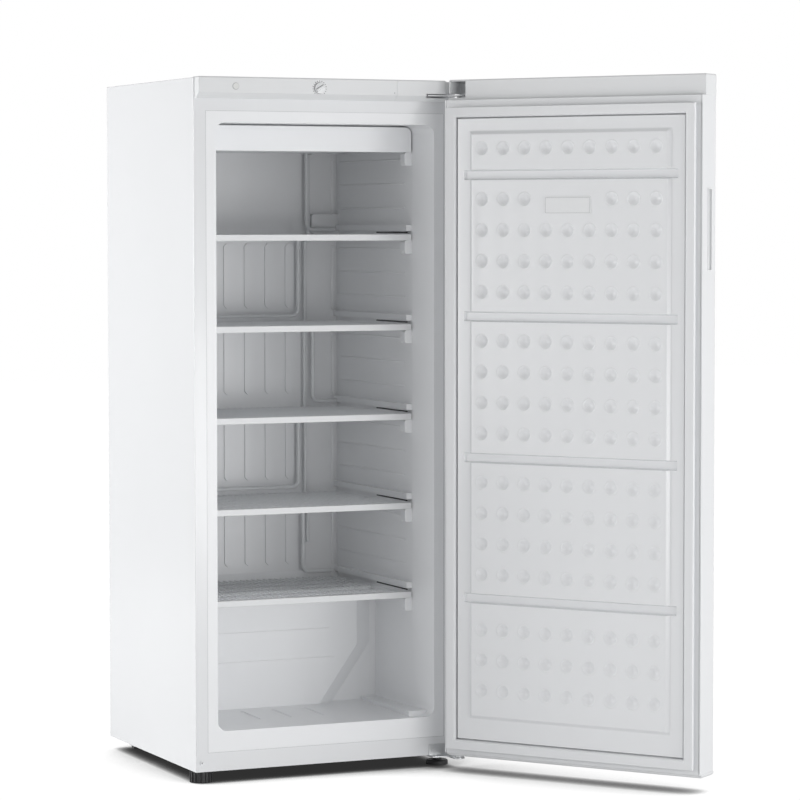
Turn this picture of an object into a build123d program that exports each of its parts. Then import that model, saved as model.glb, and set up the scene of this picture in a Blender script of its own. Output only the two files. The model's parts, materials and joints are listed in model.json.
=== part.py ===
from build123d import *
from math import atan, cos, degrees, radians, sin
import os

os.makedirs("parts", exist_ok=True)

# Upright freezer, door open. Millimetres, +Z up, floor at Z 0. Cabinet sizes are measured from its
# front flange plane (y 0, +y back) and its centre line (x 0). Door sizes run along its width from
# the hinge edge (u), out of its inner face (n) and up (z).

# ---- cabinet ----
cabinet_width = 540.0
cabinet_depth = 484.0
cabinet_top = 1329.0
foot_height = 24.0
steel = 0.8
bend_radius = 1.5
flange_width = 24.6
flange_head = 61.5
rail_height = 35.7
rail_depth = 62.0
rail_gap = 4.0
rail_steel = 1.2
rail_lip = 15.0
nut_side = 28.0
nut_height = 8.0
bay_depth = 194.0
bay_top = 278.0
bay_steel = 1.0
floor_plate_z = 38.0
half_width = cabinet_width / 2
bay_front = cabinet_depth - bay_depth
bay_width = cabinet_width - 2 * steel
rail_top = foot_height + rail_height
liner_line = half_width - flange_width
liner_head = cabinet_top - flange_head

# ---- inner liner ----
liner_wall = 2.0
lip_thickness = 2.5
side_wall = 45.0
rear_wall = 44.0
hump_wall = 40.0
mouth_drop = 83.0
mouth_bottom = 99.0
mouth_radius = 18.0
throat_depth = 75.0
throat_flare = 11.0
rear_draft = 4.0
rear_bottom = 106.0
hump_slope_depth = 16.0
hump_slope_height = 27.0
plateau_height = 20.0
plateau_right = 162.0
plateau_knee = 217.0
plateau_toe = 83.0
plateau_slope = 36.0
plateau_beads = ((231.0, 253.0, 111.0), (179.0, 195.0, 118.0))
bead_height = 3.0
rear_slot_width = 20.0
rear_slot_pitch = 44.7
rear_slot_count = 7
rear_slot_x = -29.0
rear_slot_low = 24.0
rear_slot_high = 7.0
rear_slot_height = 3.0
rear_slot_corner = 6.0
rear_boss_left = 150.0
rear_boss_rise = 40.0
rear_boss_height = 12.0
floor_strip_width = 30.0
floor_strip_height = 10.0
floor_strip_front = 20.0
floor_groove_places = (-98.0, -33.0, 34.0)
floor_groove_length = 100.0
floor_groove_back = 45.0
floor_groove_width = 8.0
floor_groove_depth = 1.0
mouth_width = cabinet_width - 2 * side_wall
mouth_top = cabinet_top - mouth_drop
throat_width = mouth_width - 2 * throat_flare
rear_width = throat_width - 2 * rear_draft
rear_wall_depth = cabinet_depth - rear_wall
hump_front = bay_front - hump_wall
hump_top = bay_top + hump_wall
hump_back = rear_wall_depth - hump_slope_depth
hump_back_top = hump_top + hump_slope_height

# ---- shelves ----
shelf_pitch = 174.9
shelf_count = 5
shelf_front = 75.0
shelf_side_gap = 2.5
trim_height = 12.0
trim_lip = 13.0
trim_wall = 1.2
tube_diameter = 8.0
tube_sides = 6
corner_cut = 16.0
wire_thickness = 2.0
wire_width = 2.6
wire_pitch = 22.0
wire_side = 6.0
wire_room = 20.0
coil_front = 110.0
coil_margin = 5.0
coil_passes = 6
coil_inset = 11.5
rail_rib_height = 16.0
rail_rib_depth = 7.0
rail_rib_gap = 2.0
rail_rib_set_back = 5.0
lug_width = 15.0
lug_drop = 26.0
lug_set_back = 4.0
lug_depth = 20.0
fascia_gap = 3.0
fascia_height = 48.0
fascia_return = 40.0
fascia_corner = 13.0
head_shelf_rise = 15.0
head_bay = 159.4
head_tube_gap = 0.3
riser_insets = (73.0, 94.0, 60.0, 94.0, 85.0)
riser_run = 60.0
fascia_top = mouth_top - fascia_gap
fascia_bottom = fascia_top - fascia_height
head_shelf_top = fascia_bottom + head_shelf_rise
shelf_top = fascia_bottom - head_bay
shelf_width = throat_width - 2 * shelf_side_gap
coil_width = shelf_width - 2 * coil_inset
wire_back = rear_wall_depth - wire_room
coil_pitch = (wire_back - coil_margin - coil_front) / (coil_passes - 1)

# ---- control panel ----
panel_left_inset = 2.5
panel_right_inset = 25.0
panel_seam = 138.0
panel_height = 40.0
panel_slope_height = 10.0
panel_rise = 1.5
panel_depth = 21.0
panel_toe = 8.0
panel_lap = 12.0
panel_wall = 2.2
panel_round = 3.0
cover_round = 7.0
seam_gap = 0.4
knob_x = -23.0
knob_drop = 18.8
knob_diameter = 20.6
knob_height = 6.8
knob_shaft = 6.0
knob_grip_length = 19.6
knob_grip = 5.0
knob_base = 3.0
knob_clearance = 0.5
knob_rest = -40.0
shaft_margin = 1.0
shaft_end_gap = 1.0
thermostat_width = 36.0
thermostat_height = 19.0
thermostat_bore = 9.0
thermostat_back = 2.0
lens_x = -193.0
lens_drop = 17.7
lens_diameter = 11.6
lens_stem = 8.0
lens_tail = 2.0
lens_height = 1.2
panel_left = panel_left_inset - half_width
panel_right = half_width - panel_right_inset
panel_top = cabinet_top + panel_rise
panel_bottom = panel_top - panel_height
panel_face_bottom = panel_bottom + panel_slope_height
knob_z = panel_top - knob_drop
lens_z = panel_top - lens_drop

# ---- door ----
door_bottom = 30.0
door_rise = 2.0
door_hinge_inset = 13.2
door_rim_offset = 30.3
door_thickness = 61.6
door_skin_bottom = 37.0
door_skin_drop = 39.4
door_corner = 6.0
rim_return = 12.0
hem_width = 2.6
cap_proud = 5.4
cap_corner = 10.0
top_cap_set_back = 14.8
bottom_cap_set_back = 7.0
cap_edge = 3.0
pocket_width = 36.0
pocket_drop = 3.7
pocket_roof = 3.0
pocket_wall = 11.0
liner_plate = 3.0
liner_inset = 3.4
liner_end_gap = 0.4
frame_inset = 29.0
frame_bottom = 65.7
frame_drop = 33.6
frame_rise = 5.0
frame_corner = 6.0
panel_inset = 58.0
panel_low = 108.0
panel_drop = 25.5
raised_height = 8.5
raised_bevel = 8.0
raised_skin = 6.5
top_groove_drop = 84.0
low_groove_rise = 232.5
groove_count = 4
groove_open = 20.0
groove_floor = 14.0
groove_overrun = 13.0
groove_depth = 11.5
dimple_diameter = 26.0
dimple_depth = 4.5
dimple_floor = 10.0
dimple_columns = 4
dimple_edge = 29.4
dimple_sides = 6
vent_sides = 8
first_row_rise = 49.5
row_drop = 46.5
pocket_rows = 4
low_pocket_rows = 3
pad_rim = 16.0
gasket_inset = 10.0
gasket_width = 19.0
gasket_height = 14.0
gasket_gap = 0.3
gasket_head = 8.0
gasket_neck = 9.0
gasket_base = 3.5
gasket_skin = 1.0
magnet_width = 9.0
magnet_height = 3.0
handle_drop = 27.0
handle_height = 152.9
handle_near = 23.0
handle_width = 17.0
handle_depth = 26.0
handle_wall = 1.5
handle_flange = 1.5
handle_corner = 2.0
plate_width = 97.0
plate_height = 33.0
plate_drop = 74.5
plate_thickness = 1.2
plate_corner = 2.0
vent_diameter = 4.5
vent_pitch = 9.45
vent_count = 7
vent_reach = 112.3
vent_z = 92.0
door_top = cabinet_top + door_rise
door_skin_top = door_top - door_skin_drop
frame_top = door_skin_top - frame_drop
panel_high = frame_top - panel_drop
panel_width = cabinet_width - 2 * panel_inset
groove_pitch = (panel_high - top_groove_drop - panel_low - low_groove_rise) / (groove_count - 1)
groove_levels = [panel_high - top_groove_drop - k * groove_pitch for k in range(groove_count)]
dimple_pitch = (panel_width - 2 * dimple_edge) / (2 * dimple_columns)
dimple_row_pitch = (groove_pitch - 2 * row_drop) / (pocket_rows - 1)
handle_top = groove_levels[0] - handle_drop
handle_bottom = handle_top - handle_height
plate_bottom = groove_levels[0] - plate_drop
vent_start = cabinet_width - vent_reach

# ---- hinge ----
opening_angle = 125.4
pin_diameter = 8.0
pin_length = 20.0
pin_end_gap = 1.0
running_fit = 0.05
bush_diameter = 14.0
boss_diameter = 20.0
hinge_plate = 2.5
hinge_plate_drop = 30.3
leg_left_inset = 67.0
leg_right_inset = 30.0
hinge_leg_height = 24.0
hinge_neck = 24.0
arm_step = 3.0
arm_reach = 8.2
lower_leg = 21.0
lower_leg_set_in = 10.0
lower_leg_clear = 1.0
foot_plate_margin = 20.0
stud_clearance = 1.0
upper_screw_rise = 14.4
lower_screw_rise = 10.0
screw_edge = 9.0
lower_screw_edge = 13.0
slot_margin = 3.5
screw_diameter = 5.0
screw_sides = 8
screw_head = 2.0
corner_screw_inset = 11.6
corner_screw_rise = 17.6
corner_screw_head = 7.0
collar_height = 5.8
collar_wall = 3.0
hinge_x = half_width - door_hinge_inset
hinge_y = door_rim_offset + gasket_height + gasket_gap
hinge_plate_z = panel_top - hinge_plate_drop
hinge_leg_left = half_width - leg_left_inset
hinge_leg_right = half_width - leg_right_inset
lower_leg_left = hinge_leg_left + lower_leg_set_in
lower_leg_right = half_width - lower_leg_clear
pocket_floor = hinge_plate_z - pocket_drop

# ---- feet and rollers ----
foot_inset = 23.0
foot_y = 34.0
foot_diameter = 43.0
left_foot_body = 21.0
right_foot_body = 9.0
right_foot_edge = 2.0
foot_hub = 18.0
flute_count = 16
flute_depth = 2.5
flute_width = 4.0
foot_hub_top = 17.0
stud_diameter = 10.0
stud_top = 44.0
roller_inset = 45.0
roller_back = 29.0
roller_diameter = 24.0
roller_width = 14.0
axle_diameter = 6.0
roller_play = 0.5
cheek = 2.0
cheek_length = 28.0
cheek_below = 6.0
cheek_bridge = 1.5
foot_x = half_width - foot_inset
roller_x = half_width - roller_inset
roller_y = cabinet_depth - roller_back

# ---- machine bay ----
rear_panel_inset = 6.0
tray_z = 26.0
tray_steel = 1.5
tray_rim = 12.0
tray_set_back = 6.0
compressor_x = 70.0
compressor_back = 102.0
compressor_length = 190.0
compressor_width = 136.0
compressor_height = 165.0
compressor_shoulder = 34.0
compressor_base = 16.0
compressor_lift = 14.0
base_thickness = 3.0
base_margin = 30.0
base_corner = 14.0
mount_spread_x = 130.0
mount_spread_y = 104.0
mount_diameter = 26.0
mount_sides = 12
bolt_diameter = 8.0
bolt_sides = 8
bolt_head = 5.0
relay_length = 34.0
relay_overlap = 12.0
relay_width = 44.0
relay_height = 62.0
relay_rise = 50.0
relay_round = 4.0
condenser_stand_off = 13.0
condenser_tube = 6.0
condenser_inset = 50.0
condenser_bottom = 330.0
condenser_head = 199.0
condenser_passes = 9
condenser_slots = 14
condenser_over = 16.0
condenser_wire = 2.0
condenser_cut = 30.0
bracket_width = 20.0
bracket_height = 14.0
bracket_inset = 44.0
drier_diameter = 18.0
drier_length = 100.0
drier_x = -70.0
drier_z = 180.0
suction_reach = 25.0
discharge_side = 40.0
discharge_x = -132.0
discharge_set_in = 0.5
discharge_gap = 3.6
tube_turn = 8.0
inlet_inset = 70.0
inlet_width = 34.0
inlet_length = 30.0
inlet_height = 34.0
inlet_wall = 4.0
inlet_floor = 6.0
inlet_sill = 1.0
inlet_round = 3.0
compressor_y = bay_front + compressor_back
condenser_width = cabinet_width - 2 * condenser_inset
condenser_pitch = (cabinet_top - condenser_head - condenser_bottom) / (condenser_passes - 1)
inlet_x = inlet_inset - half_width

# ---- places worked out from the sizes ----
door_turn = radians(180.0 - opening_angle)
centre_x = 159.0
centre_y = 4.0
width_way = Vector(cos(door_turn), -sin(door_turn), 0)
inward_way = Vector(-sin(door_turn), -cos(door_turn), 0)
pin_place = Vector(hinge_x - centre_x, -hinge_y - centre_y, 0)
door_origin = pin_place - width_way * door_hinge_inset + inward_way * door_rim_offset
door_frame = Plane(origin=door_origin, x_dir=width_way, z_dir=(0, 0, 1))


def front(y):
    """Plane across the cabinet at depth y: sketches in (x, z), facing the front."""
    return Plane(origin=(-centre_x, y - centre_y, 0), x_dir=(1, 0, 0), z_dir=(0, -1, 0))


def level(z):
    """Plane parallel to the floor in the cabinet's frame: sketches in (x, y)."""
    return Plane(origin=(-centre_x, -centre_y, z), x_dir=(1, 0, 0), z_dir=(0, 0, 1))


def side(x):
    """Plane along the cabinet at x: sketches in (y, z), facing right."""
    return Plane(origin=(x - centre_x, -centre_y, 0), x_dir=(0, 1, 0), z_dir=(1, 0, 0))


def door_face(n):
    """Plane parallel to the door at n from its rim: sketches in (u, z), facing inward."""
    return Plane(origin=door_origin + inward_way * n, x_dir=width_way, z_dir=inward_way)


def door_side(u):
    """Plane across the door's width at u: sketches in (n, z), facing the hinge edge."""
    return Plane(origin=door_origin + width_way * u, x_dir=inward_way, z_dir=-width_way)


def block(x0, x1, y0, y1, z0, z1, mode=Mode.ADD):
    """A square block between these cabinet limits."""
    place = ((x0 + x1) / 2 - centre_x, (y0 + y1) / 2 - centre_y, (z0 + z1) / 2)
    with Locations(place):
        Box(x1 - x0, y1 - y0, z1 - z0, mode=mode)


def door_block(u0, u1, n0, n1, z0, z1, mode=Mode.ADD):
    """A square block between these door limits."""
    with Locations(door_frame.location * Pos((u0 + u1) / 2, -(n0 + n1) / 2, (z0 + z1) / 2)):
        Box(u1 - u0, n1 - n0, z1 - z0, mode=mode)


# ================= cabinet =================


def cavity(grow):
    """The food space, from the mouth to the rear wall and over the hump, grown on every side."""
    middle = (mouth_top + mouth_bottom) / 2
    tall = mouth_top - mouth_bottom
    rear_middle = (mouth_top + rear_bottom) / 2
    rear_tall = mouth_top - rear_bottom
    with BuildPart() as hollow:
        with BuildSketch(front(0)):
            with Locations((0, middle)):
                RectangleRounded(mouth_width + 2 * grow, tall + 2 * grow, mouth_radius + grow)
        with BuildSketch(front(throat_depth)):
            with Locations((0, middle)):
                RectangleRounded(throat_width + 2 * grow, tall + 2 * grow, mouth_radius + grow)
        with BuildSketch(front(rear_wall_depth + grow)):
            with Locations((0, rear_middle)):
                RectangleRounded(rear_width + 2 * grow, rear_tall + 2 * grow, mouth_radius + grow)
        loft(ruled=True)
        with BuildSketch(side(-half_width)):
            with BuildLine():
                Polyline(
                    (hump_front + grow, foot_height),
                    (hump_front + grow, hump_top - grow),
                    (hump_back - grow, hump_top - grow),
                    (rear_wall_depth, hump_back_top - grow),
                    (cabinet_depth, hump_back_top - grow),
                    (cabinet_depth, foot_height),
                    close=True,
                )
            make_face()
        extrude(amount=cabinet_width, mode=Mode.SUBTRACT)
        with BuildSketch(front(hump_front - plateau_height + grow)):
            plateau_outline(-grow, hump_top - grow)
        with BuildSketch(front(hump_front + grow)):
            plateau_outline(plateau_slope - grow, hump_top - grow)
        loft(ruled=True, mode=Mode.SUBTRACT)
    return hollow.part


def plateau_outline(spread, top):
    """Outline of the raised left part of the hump, widened to the right by the spread."""
    lift = (plateau_knee - rear_bottom) / (plateau_right - plateau_toe)
    toe = plateau_toe + spread - (rear_bottom - foot_height) / lift
    corner = plateau_right + spread
    Polygon(
        (-half_width, foot_height),
        (toe, foot_height),
        (corner, plateau_knee),
        (corner, top),
        (-half_width, top),
        align=None,
    )


food_space = cavity(0)
liner_outside = cavity(liner_wall)

with BuildPart() as cabinet_shell:
    block(-half_width, half_width, 0, cabinet_depth, foot_height, cabinet_top)
    upper_edges = cabinet_shell.edges().filter_by(Axis.Y).group_by(Axis.Z)[-1]
    front_edges = cabinet_shell.edges().filter_by(Axis.Z).group_by(Axis.Y)[0]
    fillet(upper_edges + front_edges, radius=bend_radius)
    inner = half_width - steel
    block(-inner, inner, steel, cabinet_depth, foot_height, cabinet_top - steel, Mode.SUBTRACT)
    with BuildSketch(front(-steel)):
        with Locations((0, (foot_height + liner_head) / 2)):
            Rectangle(2 * liner_line, liner_head - foot_height)
    extrude(amount=-4 * steel, mode=Mode.SUBTRACT)
cabinet_shell.part.label = "cabinet_shell"
export_step(cabinet_shell.part, "parts/cabinet_shell.step")

with BuildPart() as front_base_rail:
    block(-liner_line, liner_line, 0, rail_steel, foot_height, rail_top)
    rail_inside = half_width - steel
    block(-rail_inside, rail_inside, rail_steel, rail_depth, foot_height, foot_height + rail_steel)
    block(-liner_line, liner_line, rail_steel, rail_lip, rail_top - rail_steel, rail_top)
    nut_top = foot_height + nut_height
    for x in (-foot_x, foot_x):
        block(x - nut_side / 2, x + nut_side / 2, foot_y - nut_side / 2, foot_y + nut_side / 2,
              foot_height + rail_steel, nut_top)
    with BuildSketch(level(foot_height)):
        with Locations((-foot_x, foot_y), (foot_x, foot_y)):
            Circle(stud_diameter / 2 + running_fit)
    extrude(amount=nut_top - foot_height, mode=Mode.SUBTRACT)
front_base_rail.part.label = "front_base_rail"
export_step(front_base_rail.part, "parts/front_base_rail.step")

bay_floor_front = rail_depth + rail_gap
with BuildPart() as bay_wall:
    with BuildSketch(side(-bay_width / 2)):
        with BuildLine():
            Polyline(
                (bay_floor_front, floor_plate_z),
                (bay_front, floor_plate_z),
                (bay_front, bay_top - bay_steel),
                (cabinet_depth, bay_top - bay_steel),
                (cabinet_depth, bay_top),
                (bay_front - bay_steel, bay_top),
                (bay_front - bay_steel, floor_plate_z + bay_steel),
                (bay_floor_front, floor_plate_z + bay_steel),
                close=True,
            )
        make_face()
    extrude(amount=bay_width)
bay_wall.part.label = "bay_wall"
export_step(bay_wall.part, "parts/bay_wall.step")

foam_top = cabinet_top - steel
with BuildPart() as cabinet_foam:
    block(-bay_width / 2, bay_width / 2, steel, cabinet_depth, floor_plate_z + bay_steel, foam_top)
    block(-bay_width / 2, bay_width / 2, bay_front - bay_steel, cabinet_depth,
          foot_height, bay_top, Mode.SUBTRACT)
    block(-half_width, half_width, 0, bay_floor_front, foot_height, rail_top, Mode.SUBTRACT)
    with BuildSketch(front(0)):
        with Locations((0, (rail_top + liner_head) / 2)):
            Rectangle(2 * liner_line, liner_head - rail_top)
    extrude(amount=-lip_thickness, mode=Mode.SUBTRACT)
    add(liner_outside, mode=Mode.SUBTRACT)
cabinet_foam.part.label = "cabinet_foam"
export_step(cabinet_foam.part, "parts/cabinet_foam.step")


def shelf_level(k):
    """Top of shelf k's trim, counted from the top shelf."""
    return shelf_top - k * shelf_pitch


def mirrored_block(x0, x1, y0, y1, z0, z1, mode=Mode.ADD):
    """The same block on the right and the left of the cabinet."""
    block(x0, x1, y0, y1, z0, z1, mode)
    block(-x1, -x0, y0, y1, z0, z1, mode)


# Everything that stands proud of the liner's walls, cut off at the liner's outside.
rear_half = rear_width / 2
throat_half = throat_width / 2
with BuildPart() as liner_ribs:
    for k in range(shelf_count):
        rib_bottom = shelf_level(k) + rail_rib_gap
        mirrored_block(rear_half - rail_rib_depth, half_width, shelf_front + rail_rib_set_back,
                       rear_wall_depth, rib_bottom, rib_bottom + rail_rib_height)
    lug_front = shelf_front + lug_set_back
    for top in (fascia_bottom, *(shelf_level(k) - trim_height for k in range(shelf_count))):
        mirrored_block(throat_half - lug_width, half_width, lug_front, lug_front + lug_depth,
                       top - lug_drop, top)
    for k in range(1, shelf_count):
        slot_low = shelf_level(k) + rear_slot_low
        slot_high = shelf_level(k - 1) - trim_height - rear_slot_high
        with BuildSketch(front(rear_wall_depth - rear_slot_height)):
            with Locations((rear_slot_x, (slot_low + slot_high) / 2)):
                with GridLocations(rear_slot_pitch, 1, rear_slot_count, 1):
                    Rectangle(rear_slot_width, slot_high - slot_low)
            chamfer(vertices(), length=rear_slot_corner)
        extrude(amount=-3 * rear_slot_height)
    block(rear_boss_left, half_width, rear_wall_depth - rear_boss_height, cabinet_depth,
          shelf_level(0), shelf_level(0) + rear_boss_rise)
    for low, high, right in plateau_beads:
        with BuildSketch(front(hump_front - plateau_height - bead_height)):
            with Locations(((right - half_width) / 2, (low + high) / 2)):
                SlotOverall(right + half_width, high - low)
        extrude(amount=-3 * bead_height)
    block(rear_half - floor_strip_width, half_width, floor_strip_front, hump_front, foot_height,
          mouth_bottom + floor_strip_height)
    add(liner_outside, mode=Mode.INTERSECT)

groove_mid = hump_front - floor_groove_back - floor_groove_length / 2
with BuildPart() as floor_grooves:
    with BuildSketch(level(mouth_bottom - floor_groove_depth)):
        with Locations(*[(x, groove_mid) for x in floor_groove_places]):
            SlotOverall(floor_groove_length, floor_groove_width, rotation=90)
    extrude(amount=4 * floor_groove_depth)

with BuildPart() as inner_liner:
    add(liner_outside)
    add(food_space, mode=Mode.SUBTRACT)
    with BuildSketch(front(0)):
        with Locations((0, (rail_top + liner_head) / 2)):
            Rectangle(2 * liner_line, liner_head - rail_top)
        with Locations((0, (mouth_top + mouth_bottom) / 2)):
            RectangleRounded(mouth_width, mouth_top - mouth_bottom, mouth_radius, mode=Mode.SUBTRACT)
    extrude(amount=-lip_thickness)
    add(liner_ribs.part)
    add(floor_grooves.part, mode=Mode.SUBTRACT)
inner_liner.part.label = "inner_liner"
export_step(inner_liner.part, "parts/inner_liner.step")

# ---- evaporators: a hexagonal serpentine tube under a grille of wires ----
wire_length = wire_back - shelf_front - trim_wall
wire_slots = int((shelf_width - 2 * wire_side) / wire_pitch)


def serpentine(width, passes, pitch, start):
    """Corners of a run that goes to and fro across the width, one pass every pitch."""
    points = []
    for k in range(passes):
        ends = [(-width / 2, start + k * pitch), (width / 2, start + k * pitch)]
        points += ends[::-1] if k % 2 else ends
    return points


def cut_corners(points, cut):
    """The same run with each corner cut off at this distance, as a tight tube bend."""
    places = [Vector(*point) for point in points]
    run = [places[0]]
    for before, corner, after in zip(places, places[1:], places[2:]):
        run.append(corner + (before - corner).normalized() * cut)
        run.append(corner + (after - corner).normalized() * cut)
    return [tuple(place) for place in (*run, places[-1])]


def bent_tube(plane, points, diameter, cut):
    """A six-sided tube on this plane along these points, mitred at every bend."""
    with BuildPart() as tube:
        with BuildLine(plane) as route:
            Polyline(*cut_corners(points, cut))
        with BuildSketch(Plane(route.line @ 0, x_dir=plane.z_dir, z_dir=route.line % 0)):
            RegularPolygon(diameter / 2, tube_sides, major_radius=False, rotation=30)
        sweep(transition=Transition.RIGHT)
    return tube.part


def evaporator(top, gap=0):
    """The refrigerant tube under one wire grille whose trim has its top at this height."""
    tube_z = top - trim_wall - wire_thickness - gap - tube_diameter / 2
    corners = serpentine(coil_width, coil_passes, coil_pitch, coil_front)
    return bent_tube(level(tube_z), corners, tube_diameter, corner_cut)


def grille(top):
    """The wires of one evaporator, joined by a cross wire at each end."""
    with BuildPart() as wires:
        with BuildSketch(level(top - trim_wall - wire_thickness)):
            with Locations((0, (shelf_front + trim_wall + wire_back) / 2)):
                Rectangle(wire_slots * wire_pitch + wire_width, wire_length)
                with GridLocations(wire_pitch, 1, wire_slots, 1):
                    Rectangle(wire_pitch - wire_width, wire_length - 2 * wire_width,
                              mode=Mode.SUBTRACT)
        extrude(amount=wire_thickness)
    return wires.part


for k in range(shelf_count):
    top = shelf_level(k)
    with BuildPart() as shelf_tube:
        add(evaporator(top))
    shelf_tube.part.label = f"shelf_tube_{k + 1}"
    export_step(shelf_tube.part, f"parts/shelf_tube_{k + 1}.step")

    with BuildPart() as shelf_wires:
        add(grille(top))
    shelf_wires.part.label = f"shelf_wires_{k + 1}"
    export_step(shelf_wires.part, f"parts/shelf_wires_{k + 1}.step")

    with BuildPart() as shelf_trim:
        with BuildSketch(side(-shelf_width / 2)):
            with Locations((shelf_front, top - trim_height)):
                Rectangle(trim_lip, trim_height, align=(Align.MIN, Align.MIN))
            with Locations((shelf_front + trim_wall, top - trim_height + trim_wall)):
                Rectangle(trim_lip, trim_height - 2 * trim_wall, align=(Align.MIN, Align.MIN),
                          mode=Mode.SUBTRACT)
        extrude(amount=shelf_width)
        front_edges = shelf_trim.edges().filter_by(Axis.X).group_by(Axis.Y)[0]
        fillet(front_edges, radius=trim_wall * 0.8)
    shelf_trim.part.label = f"shelf_trim_{k + 1}"
    export_step(shelf_trim.part, f"parts/shelf_trim_{k + 1}.step")

with BuildPart() as top_evaporator:
    add(evaporator(head_shelf_top, head_tube_gap))
    add(grille(head_shelf_top))
top_evaporator.part.label = "top_evaporator"
export_step(top_evaporator.part, "parts/top_evaporator.step")

with BuildPart() as top_fascia:
    with BuildSketch(front(shelf_front)):
        with Locations((0, (fascia_bottom + fascia_top) / 2)):
            Rectangle(shelf_width, fascia_top - fascia_bottom)
    extrude(amount=-fascia_return)
    upper = top_fascia.edges().filter_by(Axis.Y).group_by(Axis.Z)[-1]
    fillet(upper, radius=fascia_corner)
    inner_width = shelf_width - 2 * trim_wall
    inner_height = fascia_top - fascia_bottom - 2 * trim_wall
    with BuildSketch(front(shelf_front + trim_wall)):
        with Locations((0, (fascia_bottom + fascia_top) / 2)):
            RectangleRounded(inner_width, inner_height, fascia_corner - trim_wall)
    extrude(amount=-fascia_return, mode=Mode.SUBTRACT)
top_fascia.part.label = "top_fascia"
export_step(top_fascia.part, "parts/top_fascia.step")

riser_y = wire_back + tube_diameter / 2
tube_drop = trim_wall + wire_thickness + tube_diameter / 2
with BuildPart() as riser_tubes:
    starts = [head_shelf_top] + [shelf_level(k) for k in range(shelf_count)]
    for k, inset in enumerate(riser_insets):
        x = rear_half - inset
        high = starts[k] - tube_drop
        low = starts[k + 1] - tube_drop
        turn = riser_run if k % 2 else -riser_run
        add(bent_tube(front(riser_y), ((x, high), (x, low), (x + turn, low)), tube_diameter, corner_cut))
riser_tubes.part.label = "riser_tubes"
export_step(riser_tubes.part, "parts/riser_tubes.step")

# ---- control panel: one moulded profile, cut into the panel and the hinge cover ----


def panel_moulding(x0, x1, wall):
    """The panel's hollow profile between these limits, closed at both ends."""
    with BuildPart() as moulding:
        with BuildSketch(side(x0)) as outline:
            Polygon(
                (0, panel_bottom),
                (-panel_toe, panel_bottom),
                (-panel_depth, panel_face_bottom),
                (-panel_depth, panel_top),
                (0, panel_top),
                align=None,
            )
        extrude(amount=x1 - x0)
        upper = moulding.edges().filter_by(Axis.X).group_by(Axis.Z)[-1].sort_by(Axis.Y)[0]
        fillet(upper, radius=panel_round)
        with BuildSketch(side(x0 + wall)):
            Polygon(
                (0, panel_bottom + wall),
                (-panel_toe + wall / 2, panel_bottom + wall),
                (-panel_depth + wall, panel_face_bottom + wall / 2),
                (-panel_depth + wall, panel_top - wall),
                (0, panel_top - wall),
                align=None,
            )
        extrude(amount=x1 - x0 - 2 * wall, mode=Mode.SUBTRACT)
        block(x0, x1, 0, panel_lap, cabinet_top, panel_top)
    return moulding.part


whole_panel = panel_moulding(panel_left, panel_seam - seam_gap, panel_wall)
whole_cover = panel_moulding(panel_seam, panel_right, panel_wall)

with BuildPart() as control_panel:
    add(whole_panel)
    left_edges = control_panel.edges().filter_by(Axis.Z).group_by(Axis.X)[0].sort_by(Axis.Y)[0]
    fillet(left_edges, radius=panel_round)
    with BuildSketch(front(-panel_depth)):
        with Locations((knob_x, knob_z)):
            Circle(knob_shaft / 2 + shaft_margin)
        with Locations((lens_x, lens_z)):
            Circle(lens_stem / 2)
    extrude(amount=-panel_wall, mode=Mode.SUBTRACT)
control_panel.part.label = "control_panel"
export_step(control_panel.part, "parts/control_panel.step")

slot_low = hinge_plate_z - slot_margin
slot_high = hinge_plate_z + hinge_plate + slot_margin / 2
with BuildPart() as hinge_cover:
    add(whole_cover)
    right_edges = hinge_cover.edges().filter_by(Axis.Z).group_by(Axis.X)[-1].sort_by(Axis.Y)[0]
    fillet(right_edges, radius=cover_round)
    block(hinge_leg_left - slot_margin, panel_right, -panel_depth, -steel, slot_low, slot_high,
          Mode.SUBTRACT)
    block(hinge_leg_left - slot_margin, panel_right, -panel_toe, 0, slot_low, slot_high,
          Mode.SUBTRACT)
hinge_cover.part.label = "hinge_cover"
export_step(hinge_cover.part, "parts/hinge_cover.step")

with BuildPart() as indicator_lens:
    with BuildSketch(front(-panel_depth)):
        with Locations((lens_x, lens_z)):
            Circle(lens_diameter / 2)
    extrude(amount=lens_height)
    with BuildSketch(front(-panel_depth)):
        with Locations((lens_x, lens_z)):
            Circle(lens_stem / 2)
    extrude(amount=-panel_wall - lens_tail)
indicator_lens.part.label = "indicator_lens"
export_step(indicator_lens.part, "parts/indicator_lens.step")

with BuildPart() as thermostat_body:
    block(knob_x - thermostat_width / 2, knob_x + thermostat_width / 2,
          -panel_depth + panel_wall, -thermostat_back,
          knob_z - thermostat_height / 2, knob_z + thermostat_height / 2)
    with BuildSketch(front(-panel_depth + panel_wall)):
        with Locations((knob_x, knob_z)):
            Circle(knob_shaft / 2 + running_fit)
    extrude(amount=-thermostat_bore, mode=Mode.SUBTRACT)
thermostat_body.part.label = "thermostat_body"
export_step(thermostat_body.part, "parts/thermostat_body.step")

with BuildPart() as thermostat_knob:
    with BuildSketch(front(-panel_depth - knob_clearance)):
        with Locations((knob_x, knob_z)):
            Circle(knob_diameter / 2)
    extrude(amount=knob_base)
    with BuildSketch(front(-panel_depth - knob_clearance - knob_base)):
        with Locations((knob_x, knob_z)):
            SlotOverall(knob_grip_length, knob_grip, rotation=knob_rest)
    extrude(amount=knob_height - knob_base)
    with BuildSketch(front(-panel_depth - knob_clearance)):
        with Locations((knob_x, knob_z)):
            Circle(knob_shaft / 2)
    extrude(amount=-panel_wall - thermostat_bore + shaft_end_gap)
thermostat_knob.part.label = "thermostat_knob"
export_step(thermostat_knob.part, "parts/thermostat_knob.step")

# ---- hinge brackets ----


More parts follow.
